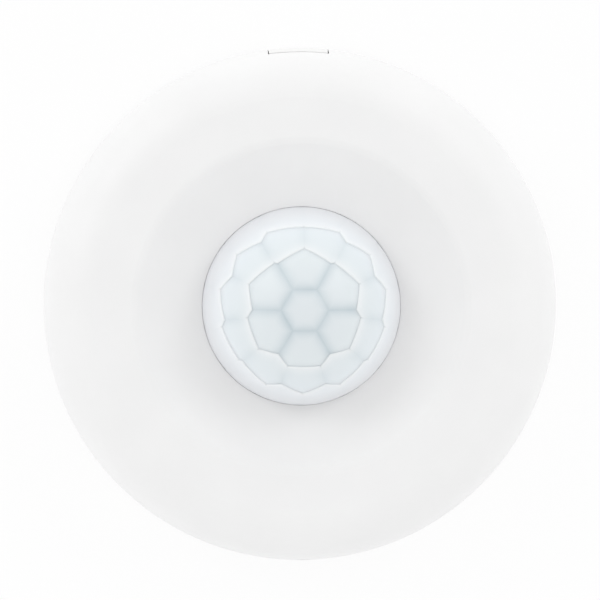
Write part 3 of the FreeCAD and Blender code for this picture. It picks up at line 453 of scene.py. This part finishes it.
def facet_edge(start, end):
    """Points along one edge of a facet, the same for both facets that share it."""
    flipped = tuple(np.round(start, 5)) > tuple(np.round(end, 5))
    first, last = (end, start) if flipped else (start, end)
    length = math.acos(min(1.0, float(first @ last))) * DOME_RADIUS
    count = max(2, round(length / EDGE_STEP))
    made = [between(first, last, n / count) for n in range(count + 1)]
    return made[::-1] if flipped else made


def dome_shell():
    """The faceted half sphere, facet by facet."""
    seeds, rings = facet_seeds()
    shell = Shell()
    for index in range(len(seeds) - FACET_RINGS[-1][0]):
        around = facet_neighbours(index, seeds)
        corners = [
            corner_between(seeds[index], seeds[around[n - 1]], seeds[around[n]])
            for n in range(len(around))
        ]
        border = []
        for n, corner in enumerate(corners):
            border += facet_edge(corner, corners[(n + 1) % len(corners)])[:-1]
        columns = []
        for edge_point in border:
            column = []
            for share in SPOKES:
                point = between(seeds[index], edge_point, share)
                depth, *marks = facet_relief(point, index, around, seeds, rings)
                place = point * (DOME_RADIUS - depth)
                column.append(shell.add(point, place + np.array((0, 0, DOME_CENTRE)), marks))
            columns.append(column)
        for n, column in enumerate(columns):
            previous = columns[n - 1]
            for level in range(len(SPOKES) - 1):
                shell.face(previous[level], previous[level + 1], column[level + 1], column[level])
    return shell


def add_dome():
    """The lens as one closed shell: facets, a short collar, and the flange under the cover."""
    shell = dome_shell()
    mesh = bpy.data.meshes.new("faceted_dome")
    mesh.from_pydata(shell.points, [], shell.faces)
    dome = bpy.data.objects.new("faceted_dome", mesh)
    scene.collection.objects.link(dome)
    # Point values: painted shade in the valleys and just inside each step, and a painted highlight just
    # outside each step.
    for number, name in enumerate(("valley_painted_shade", "inner_step_painted_shade", "outer_step_painted_highlight")):
        marks = mesh.attributes.new(name, "FLOAT", "POINT")
        marks.data.foreach_set("value", [values[number] for values in shell.values])
    work = bmesh.new()
    work.from_mesh(mesh)
    rim = [edge for edge in work.edges if edge.is_boundary]
    flange_top = lens_low.z + FLANGE_THICKNESS
    for radius, height in (
        (DOME_RADIUS, flange_top + COLLAR_HEIGHT),
        (DOME_RADIUS + RIM_ROUNDING, flange_top),
        (FLANGE_RADIUS - RIM_ROUNDING, flange_top),
        (FLANGE_RADIUS, flange_top - RIM_ROUNDING),
        (FLANGE_RADIUS, lens_low.z + RIM_ROUNDING),
        (FLANGE_RADIUS - RIM_ROUNDING, lens_low.z),
        (DOME_RADIUS - LENS_WALL, lens_low.z),
        (DOME_RADIUS - LENS_WALL, DOME_CENTRE),
    ):
        rim = extrude_rim(work, rim, radius, height)
    close_inside(work, rim)
    bmesh.ops.recalc_face_normals(work, faces=work.faces)
    for face in work.faces:
        face.smooth = True
    work.to_mesh(mesh)
    work.free()
    mesh.materials.append(lens_material())
    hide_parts("dome_lens")
    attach(dome, "cover")


def extrude_rim(work, rim, radius, height):
    """Carries a round rim on to another radius and height."""
    made = bmesh.ops.extrude_edge_only(work, edges=rim)["geom"]
    for vertex in (v for v in made if isinstance(v, bmesh.types.BMVert)):
        flat = Vector((vertex.co.x, vertex.co.y, 0)).normalized() * radius
        vertex.co = Vector((flat.x, flat.y, height))
    return [edge for edge in made if isinstance(edge, bmesh.types.BMEdge)]


def close_inside(work, rim):
    """A smooth inner half sphere, from the rim up to a closing fan."""
    inner = DOME_RADIUS - LENS_WALL
    for level in range(1, INSIDE_LEVELS):
        lean = math.radians(90 * level / INSIDE_LEVELS)
        rim = extrude_rim(work, rim, inner * math.cos(lean), DOME_CENTRE + inner * math.sin(lean))
    bmesh.ops.contextual_create(work, geom=rim)


def lens_material():
    """Milky polyethylene, with painted shade, dull and cool, in the valleys and just inside each step, and a
    painted highlight just outside each step.
    """
    graph = Graph("lens_polymer")
    depth = graph.tree.nodes.new("ShaderNodeSeparateXYZ")
    graph.join(graph.place, depth.inputs[0])
    height = graph.tree.nodes.new("ShaderNodeMapRange")
    height.inputs["From Min"].default_value = DOME_CENTRE
    height.inputs["From Max"].default_value = DOME_CENTRE + DOME_RADIUS
    graph.join(depth.outputs["Z"], height.inputs["Value"])
    # The lens's own cool milky tone up the dome. Its changes in brightness are painted shade: darker at the
    # rim, and a little darker at the top than halfway up.
    base = graph.ramp(
        height.outputs[0],
        (0.0, (0.70, 0.71, 0.74)),
        (0.35, (0.755, 0.775, 0.80)),
        (0.5, (0.79, 0.82, 0.85)),
        (0.62, (0.765, 0.815, 0.845)),
        (0.85, (0.75, 0.80, 0.82)),
        (1.0, (0.74, 0.785, 0.81)),
    )
    drift = graph.spread(graph.noise(7.0, detail=1), 0.1, 1.3)
    # Painted shade: a dull, cool colour in the valleys, patchy along them.
    valley_painted_shade = graph.math("MULTIPLY", graph.attribute("valley_painted_shade"), drift)
    painted_light_tone = graph.mix(valley_painted_shade, base, (0.52, 0.60, 0.64))
    # Painted shade just inside each step.
    inner = graph.math("MULTIPLY", graph.attribute("inner_step_painted_shade"), 0.35)
    painted_light_tone = graph.mix(inner, painted_light_tone, (0.58, 0.62, 0.65))
    # Painted highlight just outside each step.
    outer = graph.math("MULTIPLY", graph.attribute("outer_step_painted_highlight"), 0.6)
    painted_light_tone = graph.mix(outer, painted_light_tone, (0.90, 0.91, 0.92))
    graph.colour(painted_light_tone)
    cloud = graph.noise(2.5, detail=3)
    graph.roughness(cloud, 0.30, 0.38)
    ripple = graph.noise(0.9, detail=2)
    graph.bump(ripple, 0.006)
    graph.set(Subsurface_Weight=0.25, Subsurface_Scale=0.8 * MM, IOR=1.5, Specular_IOR_Level=0.4)
    graph.shader.inputs["Subsurface Radius"].default_value = (1.0, 1.0, 1.0)
    return graph.material


# ---------------------------------------------------------------- finish of the CAD nodes


def finish_nodes():
    """Gives every CAD node its material."""
    white = moulded("cover_white", (0.868, 0.868, 0.868))
    base_white = moulded("base_white", (0.85, 0.85, 0.845), rough=(0.42, 0.55), grain_mm=0.2)
    dark = moulded("dark_moulding", (0.022, 0.022, 0.025), rough=(0.3, 0.42))
    pale = moulded("pale_moulding", (0.78, 0.77, 0.73), rough=(0.3, 0.4))
    steel = metal("plated_steel", (0.62, 0.62, 0.63))
    plated = metal("nickel_can", (0.68, 0.66, 0.62), stretch=(1, 1, 1), scratch_mm=0.8)
    aluminium = metal("aluminium_can", (0.78, 0.78, 0.79), stretch=(1, 1, 8))
    finishes = {
        white: ("front_cover",),
        base_white: ("base_housing", "latch_finger"),
        dark: ("lens_retainer", "sensor_collar", "tamper_switch_case", "button_case", "setting_switch_case"),
        pale: (
            "learn_button",
            "tamper_plunger",
            "setting_slider_1",
            "setting_slider_2",
            "setting_slider_3",
        ),
        steel: (
            "retainer_screws",
            "board_screws",
            "hinge_pin",
            "sensor_pins",
            "tamper_lever",
            "positive_contact",
            "negative_contact",
            "contact_spring",
            "battery_positive_end",
        ),
        plated: ("sensor_can", "radio_shield", "crystal"),
        board_material(): ("main_board",),
        chip_material(): ("microcontroller", "chip_resistors"),
        aluminium: ("storage_capacitor", "filter_capacitor"),
        metal("copper_wire", (0.72, 0.36, 0.18), stretch=(6, 1, 1)): ("coil_antenna",),
        metal("solder", (0.72, 0.72, 0.73), rough=(0.22, 0.3), stretch=(1, 1, 1)): ("solder_joints",),
        resin_material(): ("status_led",),
        filter_material(): ("sensor_window",),
        sleeve_material(): ("battery_cell",),
    }
    for material, names in finishes.items():
        for name in names:
            mesh = nodes[name].data
            mesh.materials.clear()
            mesh.materials.append(material)


def board_material():
    """Green solder mask over copper tracks that run in straight bundles."""
    graph = Graph("solder_mask")
    bundles = graph.tree.nodes.new("ShaderNodeTexVoronoi")
    bundles.distance = "CHEBYCHEV"
    bundles.inputs["Scale"].default_value = 1 / (7 * MM)
    graph.join(graph.place, bundles.inputs["Vector"])
    split = graph.tree.nodes.new("ShaderNodeSeparateColor")
    graph.join(bundles.outputs["Color"], split.inputs[0])
    tracks = []
    for direction in ("X", "Y"):
        wave = graph.tree.nodes.new("ShaderNodeTexWave")
        wave.bands_direction = direction
        wave.inputs["Scale"].default_value = 1 / (6.5 * MM)
        wave.inputs["Distortion"].default_value = 0.0
        graph.join(graph.place, wave.inputs["Vector"])
        tracks.append(graph.math("GREATER_THAN", wave.outputs["Fac"], 0.72))
    choose = graph.math("GREATER_THAN", split.outputs[0], 0.5)
    chosen = graph.mix(choose, tracks[0], tracks[1])
    present = graph.math("GREATER_THAN", split.outputs[1], 0.45)
    copper = graph.math("MULTIPLY", chosen, present)
    graph.colour(graph.mix(copper, (0.012, 0.115, 0.045), (0.03, 0.22, 0.085)))
    weave = graph.noise(0.5, detail=3)
    graph.roughness(weave, 0.22, 0.34)
    graph.bump(copper, 0.03)
    graph.set(Specular_IOR_Level=0.5, Coat_Weight=0.3, Coat_Roughness=0.15)
    return graph.material


def chip_material():
    """Black moulding compound."""
    graph = Graph("chip_black")
    grit = graph.noise(0.12, detail=4, roughness=0.7)
    graph.colour(graph.ramp(grit, (0.3, (0.016, 0.016, 0.018)), (0.75, (0.035, 0.035, 0.037))))
    graph.roughness(grit, 0.45, 0.6)
    graph.bump(grit, 0.008)
    return graph.material


def resin_material():
    """Red-tinted clear resin."""
    graph = Graph("led_resin")
    cloud = graph.noise(1.2, detail=2)
    graph.colour(graph.ramp(cloud, (0.3, (0.62, 0.05, 0.04)), (0.7, (0.78, 0.09, 0.07))))
    graph.roughness(cloud, 0.06, 0.12)
    graph.set(Transmission_Weight=0.55, IOR=1.5)
    return graph.material


def filter_material():
    """The dark, mirror-like infrared filter."""
    graph = Graph("infrared_filter")
    cloud = graph.noise(1.5, detail=2)
    graph.colour(graph.ramp(cloud, (0.3, (0.035, 0.035, 0.05)), (0.7, (0.06, 0.055, 0.075))))
    graph.roughness(cloud, 0.05, 0.1)
    graph.set(Metallic=0.7)
    return graph.material


def sleeve_material():
    """Plain shrink sleeve on the cell, with a pale band at its positive end."""
    band = 6 * MM
    graph = Graph("cell_sleeve")
    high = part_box("battery_cell")[1]
    split = graph.tree.nodes.new("ShaderNodeSeparateXYZ")
    graph.join(graph.place, split.inputs[0])
    along = graph.math("GREATER_THAN", split.outputs["X"], high.x - band)
    film = graph.noise(3, detail=4, stretch=(1, 4, 4))
    blue = graph.ramp(film, (0.3, (0.035, 0.075, 0.20)), (0.7, (0.045, 0.095, 0.24)))
    graph.colour(graph.mix(along, blue, (0.66, 0.67, 0.68)))
    graph.roughness(film, 0.2, 0.32)
    graph.bump(film, 0.02)
    graph.set(Coat_Weight=0.25, Coat_Roughness=0.1)
    return graph.material


# ---------------------------------------------------------------- small pieces round the CAD nodes


def islands(name):
    """The boxes of a node's separate solids, each (lowest corner, highest corner)."""
    mesh = nodes[name].data
    parent = list(range(len(mesh.vertices)))
    places = {}

    def root(index):
        while parent[index] != index:
            parent[index] = parent[parent[index]]
            index = parent[index]
        return index

    for vertex in mesh.vertices:
        key = tuple(round(value, 7) for value in vertex.co)
        parent[root(vertex.index)] = root(places.setdefault(key, vertex.index))
    for edge in mesh.edges:
        parent[root(edge.vertices[0])] = root(edge.vertices[1])
    groups = {}
    for vertex in mesh.vertices:
        groups.setdefault(root(vertex.index), []).append(vertex.co)
    boxes = []
    for points in groups.values():
        low = Vector(min(point[axis] for point in points) for axis in range(3))
        high = Vector(max(point[axis] for point in points) for axis in range(3))
        boxes.append((low, high))
    return sorted(boxes, key=lambda pair: tuple(round(value, 6) for value in pair[0]))


def new_piece(name, work, material, body, bevel=0.0):
    """Makes one visible piece from a finished bmesh."""
    bmesh.ops.recalc_face_normals(work, faces=work.faces)
    mesh = bpy.data.meshes.new(name)
    work.to_mesh(mesh)
    work.free()
    piece = bpy.data.objects.new(name, mesh)
    scene.collection.objects.link(piece)
    mesh.materials.append(material)
    if bevel:
        rounding = piece.modifiers.new("rounding", "BEVEL")
        rounding.width = bevel
        rounding.segments = 2
        rounding.limit_method = "ANGLE"
    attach(piece, body)


def put_block(work, low, high):
    """A block between two corners."""
    made = bmesh.ops.create_cube(work, size=1)["verts"]
    middle, reach = (Vector(low) + Vector(high)) / 2, Vector(high) - Vector(low)
    for vertex in made:
        vertex.co = Vector(c * r for c, r in zip(vertex.co, reach)) + middle


def put_turned(work, centre, profile, sides=32, axis="Z"):
    """A turned solid from a closed profile of (radius, height) corners."""
    loops = []
    for radius, height in profile:
        loop = []
        for number in range(sides):
            turn = 2 * math.pi * number / sides
            x, y = radius * math.cos(turn), radius * math.sin(turn)
            place = Vector((x, y, height)) if axis == "Z" else Vector((height, x, y))
            loop.append(work.verts.new(Vector(centre) + place))
        loops.append(loop)
    for index, loop in enumerate(loops):
        following = loops[(index + 1) % len(loops)]
        for number in range(sides):
            ahead = (number + 1) % sides
            work.faces.new((loop[number], loop[ahead], following[ahead], following[number]))


def ring_profile(inner, outer, low, high):
    """The profile of a flat ring."""
    return ((inner, low), (outer, low), (outer, high), (inner, high))


def put_bar(work, axis, reach, place, half_width, heights):
    """A block that reaches along one axis and is centred at a place on the other."""
    low, high = [0, 0, heights[0]], [0, 0, heights[1]]
    low[axis], high[axis] = sorted(reach)
    low[1 - axis], high[1 - axis] = place - half_width, place + half_width
    put_block(work, low, high)


def middle_of(low, high, height):
    """The point at this height in the middle of a box, seen from above."""
    return Vector(((low.x + high.x) / 2, (low.y + high.y) / 2, height))


BOARD_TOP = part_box("main_board")[1].z
SKIN = 0.03 * MM
AXIS_RADIUS = 0.0001 * MM
ON_BOARD = (
    "microcontroller",
    "radio_shield",
    "crystal",
    "storage_capacitor",
    "filter_capacitor",
    "coil_antenna",
    "tamper_switch_case",
    "button_case",
    "setting_switch_case",
    "status_led",
    "solder_joints",
)


def add_chip_leads(material):
    """Bent leads along all four sides of the processor."""
    low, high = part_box("microcontroller")
    count, half_width, thickness = 9, 0.14 * MM, 0.12 * MM
    shoulder, foot, root = 0.35 * MM, 0.75 * MM, 0.1 * MM
    corner_gap = 0.5 * MM
    middle = (low.z + high.z) / 2
    sole = BOARD_TOP + SKIN
    work = bmesh.new()
    for number in range(count):
        along = corner_gap + (high.x - low.x - 2 * corner_gap) * number / (count - 1)
        for axis in (0, 1):
            place = low[1 - axis] + along
            for side in (-1, 1):
                edge = (low if side < 0 else high)[axis]
                bend = edge + (shoulder - thickness) * side
                for reach, heights in (
                    ((edge - root * side, edge + shoulder * side), (middle - thickness, middle)),
                    ((bend, edge + shoulder * side), (sole, middle - thickness / 2)),
                    ((bend, edge + foot * side), (sole, sole + thickness)),
                ):
                    put_bar(work, axis, reach, place, half_width, heights)
    new_piece("microcontroller_leads", work, material, "base")


def add_chip_ends(material):
    """Tinned caps on both ends of each chip part."""
    cap, over = 0.4 * MM, 0.03 * MM
    work = bmesh.new()
    for low, high in islands("chip_resistors"):
        for start in (low.x - over, high.x - cap):
            corner_a = (start, low.y - over, BOARD_TOP)
            corner_b = (start + cap + over, high.y + over, high.z + over)
            put_block(work, corner_a, corner_b)
    new_piece("chip_end_caps", work, material, "base", bevel=0.06 * MM)


def add_board_pads(material):
    """Tinned rings round the screws, and solder lands under the leads of the parts."""
    screw_hole, screw_land, land_inset = 1.3 * MM, 2.9 * MM, 0.4 * MM
    land, under, beside = 0.45 * MM, 0.1 * MM, 0.1 * MM
    work = bmesh.new()
    for low, high in islands("board_screws"):
        put_turned(work, middle_of(low, high, BOARD_TOP), ring_profile(screw_hole, screw_land, 0, SKIN), 48)
    for name, width in (("microcontroller", 1.0), ("crystal", 0.5), ("radio_shield", 0.35)):
        low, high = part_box(name)
        width *= MM
        for axis in (0, 1):
            for edge in (low[axis] - width, high[axis]):
                corner_a, corner_b = [0, 0, BOARD_TOP], [0, 0, BOARD_TOP + SKIN]
                corner_a[axis], corner_b[axis] = edge, edge + width
                corner_a[1 - axis] = low[1 - axis] + land_inset
                corner_b[1 - axis] = high[1 - axis] - land_inset
                put_block(work, corner_a, corner_b)
    for low, high in islands("chip_resistors"):
        for start in (low.x + under - land, high.x - under):
            corner_a = (start, low.y - beside, BOARD_TOP)
            corner_b = (start + land, high.y + beside, BOARD_TOP + SKIN)
            put_block(work, corner_a, corner_b)
    new_piece("board_pads", work, material, "base")


def add_board_vias(material):
    """Small plated holes, scattered over the free parts of the board on a grid."""
    random = np.random.default_rng(11)
    grid, radius = 2.3 * MM, 0.42 * MM
    share, sensor_room = 0.3, 9 * MM
    low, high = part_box("main_board")
    taken = [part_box(name) for name in ON_BOARD]
    taken += islands("chip_resistors") + islands("board_screws")
    keep_out = 1.3 * MM
    work = bmesh.new()
    steps = int((high.x - low.x) / grid)
    for column in range(steps):
        for row in range(steps):
            jitter = random.uniform(-0.5, 0.5, 2) * grid
            x = low.x + grid * column + jitter[0]
            y = -high.x + grid * row + jitter[1]
            if random.random() > share or y < low.y + keep_out:
                continue
            if math.hypot(x, y) > high.x - keep_out or math.hypot(x, y) < sensor_room:
                continue
            blocked = any(
                a.x - keep_out < x < b.x + keep_out and a.y - keep_out < y < b.y + keep_out
                for a, b in taken
            )
            if not blocked:
                put_turned(work, (x, y, BOARD_TOP), ring_profile(radius / 2, radius, 0, SKIN), 16)
    new_piece("board_vias", work, material, "base")


def add_board_outlines(material):
    """Thin printed frames round the parts."""
    gap, line = 0.55 * MM, 0.15 * MM
    work = bmesh.new()
    for name in ("crystal", "radio_shield", "setting_switch_case", "button_case", "tamper_switch_case"):
        low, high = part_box(name)
        x_a, x_b = low.x - gap, high.x + gap
        y_a, y_b = low.y - gap, high.y + gap
        for corner_a, corner_b in (
            ((x_a, y_a), (x_b, y_a + line)),
            ((x_a, y_b - line), (x_b, y_b)),
            ((x_a, y_a + line), (x_a + line, y_b - line)),
            ((x_b - line, y_a + line), (x_b, y_b - line)),
        ):
            put_block(work, (*corner_a, BOARD_TOP), (*corner_b, BOARD_TOP + SKIN / 2))
    for name, extra in (("storage_capacitor", 0.9), ("filter_capacitor", 0.9), ("status_led", 0.5)):
        low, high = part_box(name)
        radius = (high.x - low.x) / 2 + extra * MM
        profile = ring_profile(radius, radius + line, 0, SKIN / 2)
        put_turned(work, middle_of(low, high, BOARD_TOP), profile, 48)
    new_piece("board_outlines", work, material, "base")


def add_switch_legs(material):
    """Tinned legs of the button, the tamper switch and the setting switches."""
    thick, rise, foot = 0.2 * MM, 1.1 * MM, 0.8 * MM
    sole = BOARD_TOP + SKIN
    plans = {
        "button_case": (0, (0.8, 5.2), 0.35),
        "tamper_switch_case": (0, (2.0, 4.5, 7.0), 0.3),
        "setting_switch_case": (1, (2.06, 4.6, 7.14), 0.3),
    }
    work = bmesh.new()
    for name, (axis, offsets, half_width) in plans.items():
        low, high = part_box(name)
        for offset in offsets:
            place = low[1 - axis] + offset * MM
            for side in (-1, 1):
                edge = (low if side < 0 else high)[axis]
                upright, flat = (edge, edge + thick * side), (edge, edge + foot * side)
                put_bar(work, axis, upright, place, half_width * MM, (sole, BOARD_TOP + rise))
                put_bar(work, axis, flat, place, half_width * MM, (sole, BOARD_TOP + thick))
    new_piece("switch_legs", work, material, "base")


def add_button_frame(material):
    """The button's metal top plate, held by four rivets."""
    low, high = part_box("button_case")
    button_low, button_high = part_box("learn_button")
    clearance, seat, thick, sides = 0.15 * MM, 0.01 * MM, 0.12 * MM, 64
    hole = (button_high.x - button_low.x) / 2 + clearance
    half = (high.x - low.x) / 2 - clearance
    centre = middle_of(low, high, high.z)
    work = bmesh.new()
    loops = []
    for height in (seat, thick):
        outer, inner = [], []
        for number in range(sides):
            turn = 2 * math.pi * (number + 0.5) / sides
            x, y = math.cos(turn), math.sin(turn)
            stretch = half / max(abs(x), abs(y))
            outer.append(work.verts.new(centre + Vector((x * stretch, y * stretch, height))))
            inner.append(work.verts.new(centre + Vector((x * hole, y * hole, height))))
        loops.append((outer, inner))
    (outer_low, inner_low), (outer_high, inner_high) = loops
    flats = ((outer_high, inner_high), (outer_low, inner_low))
    walls = ((outer_low, outer_high), (inner_low, inner_high))
    for number in range(sides):
        ahead = (number + 1) % sides
        for a, b in flats + walls:
            work.faces.new((a[number], a[ahead], b[ahead], b[number]))
    rivet_spread = 0.8
    rivet = ((AXIS_RADIUS, 0), (0.4 * MM, 0), (0.3 * MM, 0.2 * MM), (AXIS_RADIUS, 0.22 * MM))
    for x in (-1, 1):
        for y in (-1, 1):
            place = centre + Vector((x * half * rivet_spread, y * half * rivet_spread, thick))
            put_turned(work, place, rivet, 20)
    new_piece("button_frame", work, material, "base")


def add_capacitor_details(dark, material):
    """Black plinths under the cans, and a rolled lip round each top."""
    cans = ("storage_capacitor", "filter_capacitor")
    grow, plinth_height = 0.3 * MM, 0.9 * MM
    work = bmesh.new()
    for name in cans:
        low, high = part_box(name)
        corner_a = (low.x - grow, low.y - grow, BOARD_TOP + SKIN)
        corner_b = (high.x + grow, high.y + grow, BOARD_TOP + plinth_height)
        put_block(work, corner_a, corner_b)
    new_piece("capacitor_plinths", work, dark, "base", bevel=0.2 * MM)
    lip_height = 0.18 * MM
    work = bmesh.new()
    for name in cans:
        low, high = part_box(name)
        radius = (high.x - low.x) / 2
        foot = ((radius - 0.5 * MM, 0), (radius - 0.05 * MM, 0))
        crest = ((radius - 0.2 * MM, lip_height), (radius - 0.4 * MM, lip_height))
        put_turned(work, middle_of(low, high, high.z), foot + crest, 48)
    new_piece("capacitor_lips", work, material, "base")


def add_antenna_solder(material):
    """Cones of solder with a wire stub, where the coil's ends meet the board."""
    low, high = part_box("coil_antenna")
    wire, foot, cone_height, stub_height = 0.38 * MM, 0.9 * MM, 0.7 * MM, 1.2 * MM
    stub = ((wire, cone_height), (wire, stub_height), (AXIS_RADIUS, stub_height))
    profile = ((AXIS_RADIUS, 0), (foot, 0), *stub)
    y = (low.y + high.y) / 2
    work = bmesh.new()
    for x in (low.x + wire, high.x - wire):
        put_turned(work, (x, y, BOARD_TOP), profile, 24)
    new_piece("antenna_solder", work, material, "base")


def add_cell_ends(material, sleeve):
    """The rolled lips of the sleeve and the insulating washer at the positive end."""
    low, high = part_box("battery_cell")
    y, z = (low.y + high.y) / 2, (low.z + high.z) / 2
    radius = (high.z - low.z) / 2
    lip, washer_hole, washer_radius, washer_thickness = 0.25 * MM, 3.5 * MM, 6.6 * MM, 0.12 * MM
    work = bmesh.new()
    for x, way in ((low.x, -1), (high.x, 1)):
        foot = ((radius - 1.5 * MM, 0), (radius - 0.2 * MM, 0))
        crest = ((radius - 0.45 * MM, lip * way), (radius - 1.3 * MM, lip * way))
        put_turned(work, (x, y, z), foot + crest, 64, axis="X")
    new_piece("cell_sleeve_lips", work, sleeve, "base")
    work = bmesh.new()
    washer = ring_profile(washer_hole, washer_radius, 0, washer_thickness)
    put_turned(work, (high.x, y, z), washer, 64, axis="X")
    new_piece("cell_washer", work, material, "base")


def add_light_core(material):
    """The metal cup and post inside the indicator."""
    low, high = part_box("status_led")
    base, post_radius, cup_radius, cup_depth, nose = 0.2 * MM, 0.35 * MM, 0.8 * MM, 0.6 * MM, 2.2 * MM
    cup = high.z - BOARD_TOP - nose
    post = ((AXIS_RADIUS, base), (post_radius, base), (post_radius, cup - cup_depth))
    work = bmesh.new()
    put_turned(work, middle_of(low, high, BOARD_TOP), (*post, (cup_radius, cup), (AXIS_RADIUS, cup)), 24)
    new_piece("light_core", work, material, "base")


def add_details():
    """All the small pieces that the CAD nodes don't carry."""
    tin = metal("bright_tin", (0.76, 0.76, 0.77), rough=(0.2, 0.3), stretch=(1, 1, 1))
    legs = metal("tinned_legs", (0.66, 0.66, 0.67), rough=(0.22, 0.34), stretch=(1, 1, 1))
    paint = moulded("board_print", (0.80, 0.80, 0.78), rough=(0.5, 0.6), grain_mm=0.1, grain_height=0.002)
    dark = moulded("plinth_black", (0.02, 0.02, 0.022), rough=(0.35, 0.5))
    add_chip_leads(legs)
    add_chip_ends(tin)
    add_board_pads(tin)
    add_board_vias(tin)
    add_board_outlines(paint)
    add_switch_legs(legs)
    add_button_frame(legs)
    add_capacitor_details(dark, tin)
    add_antenna_solder(tin)
    add_cell_ends(paint, bpy.data.materials["cell_sleeve"])
    add_light_core(legs)


# ---------------------------------------------------------------- build

add_dome()
finish_nodes()
add_details()
add_camera()
add_world()
add_lamps()
add_floor()
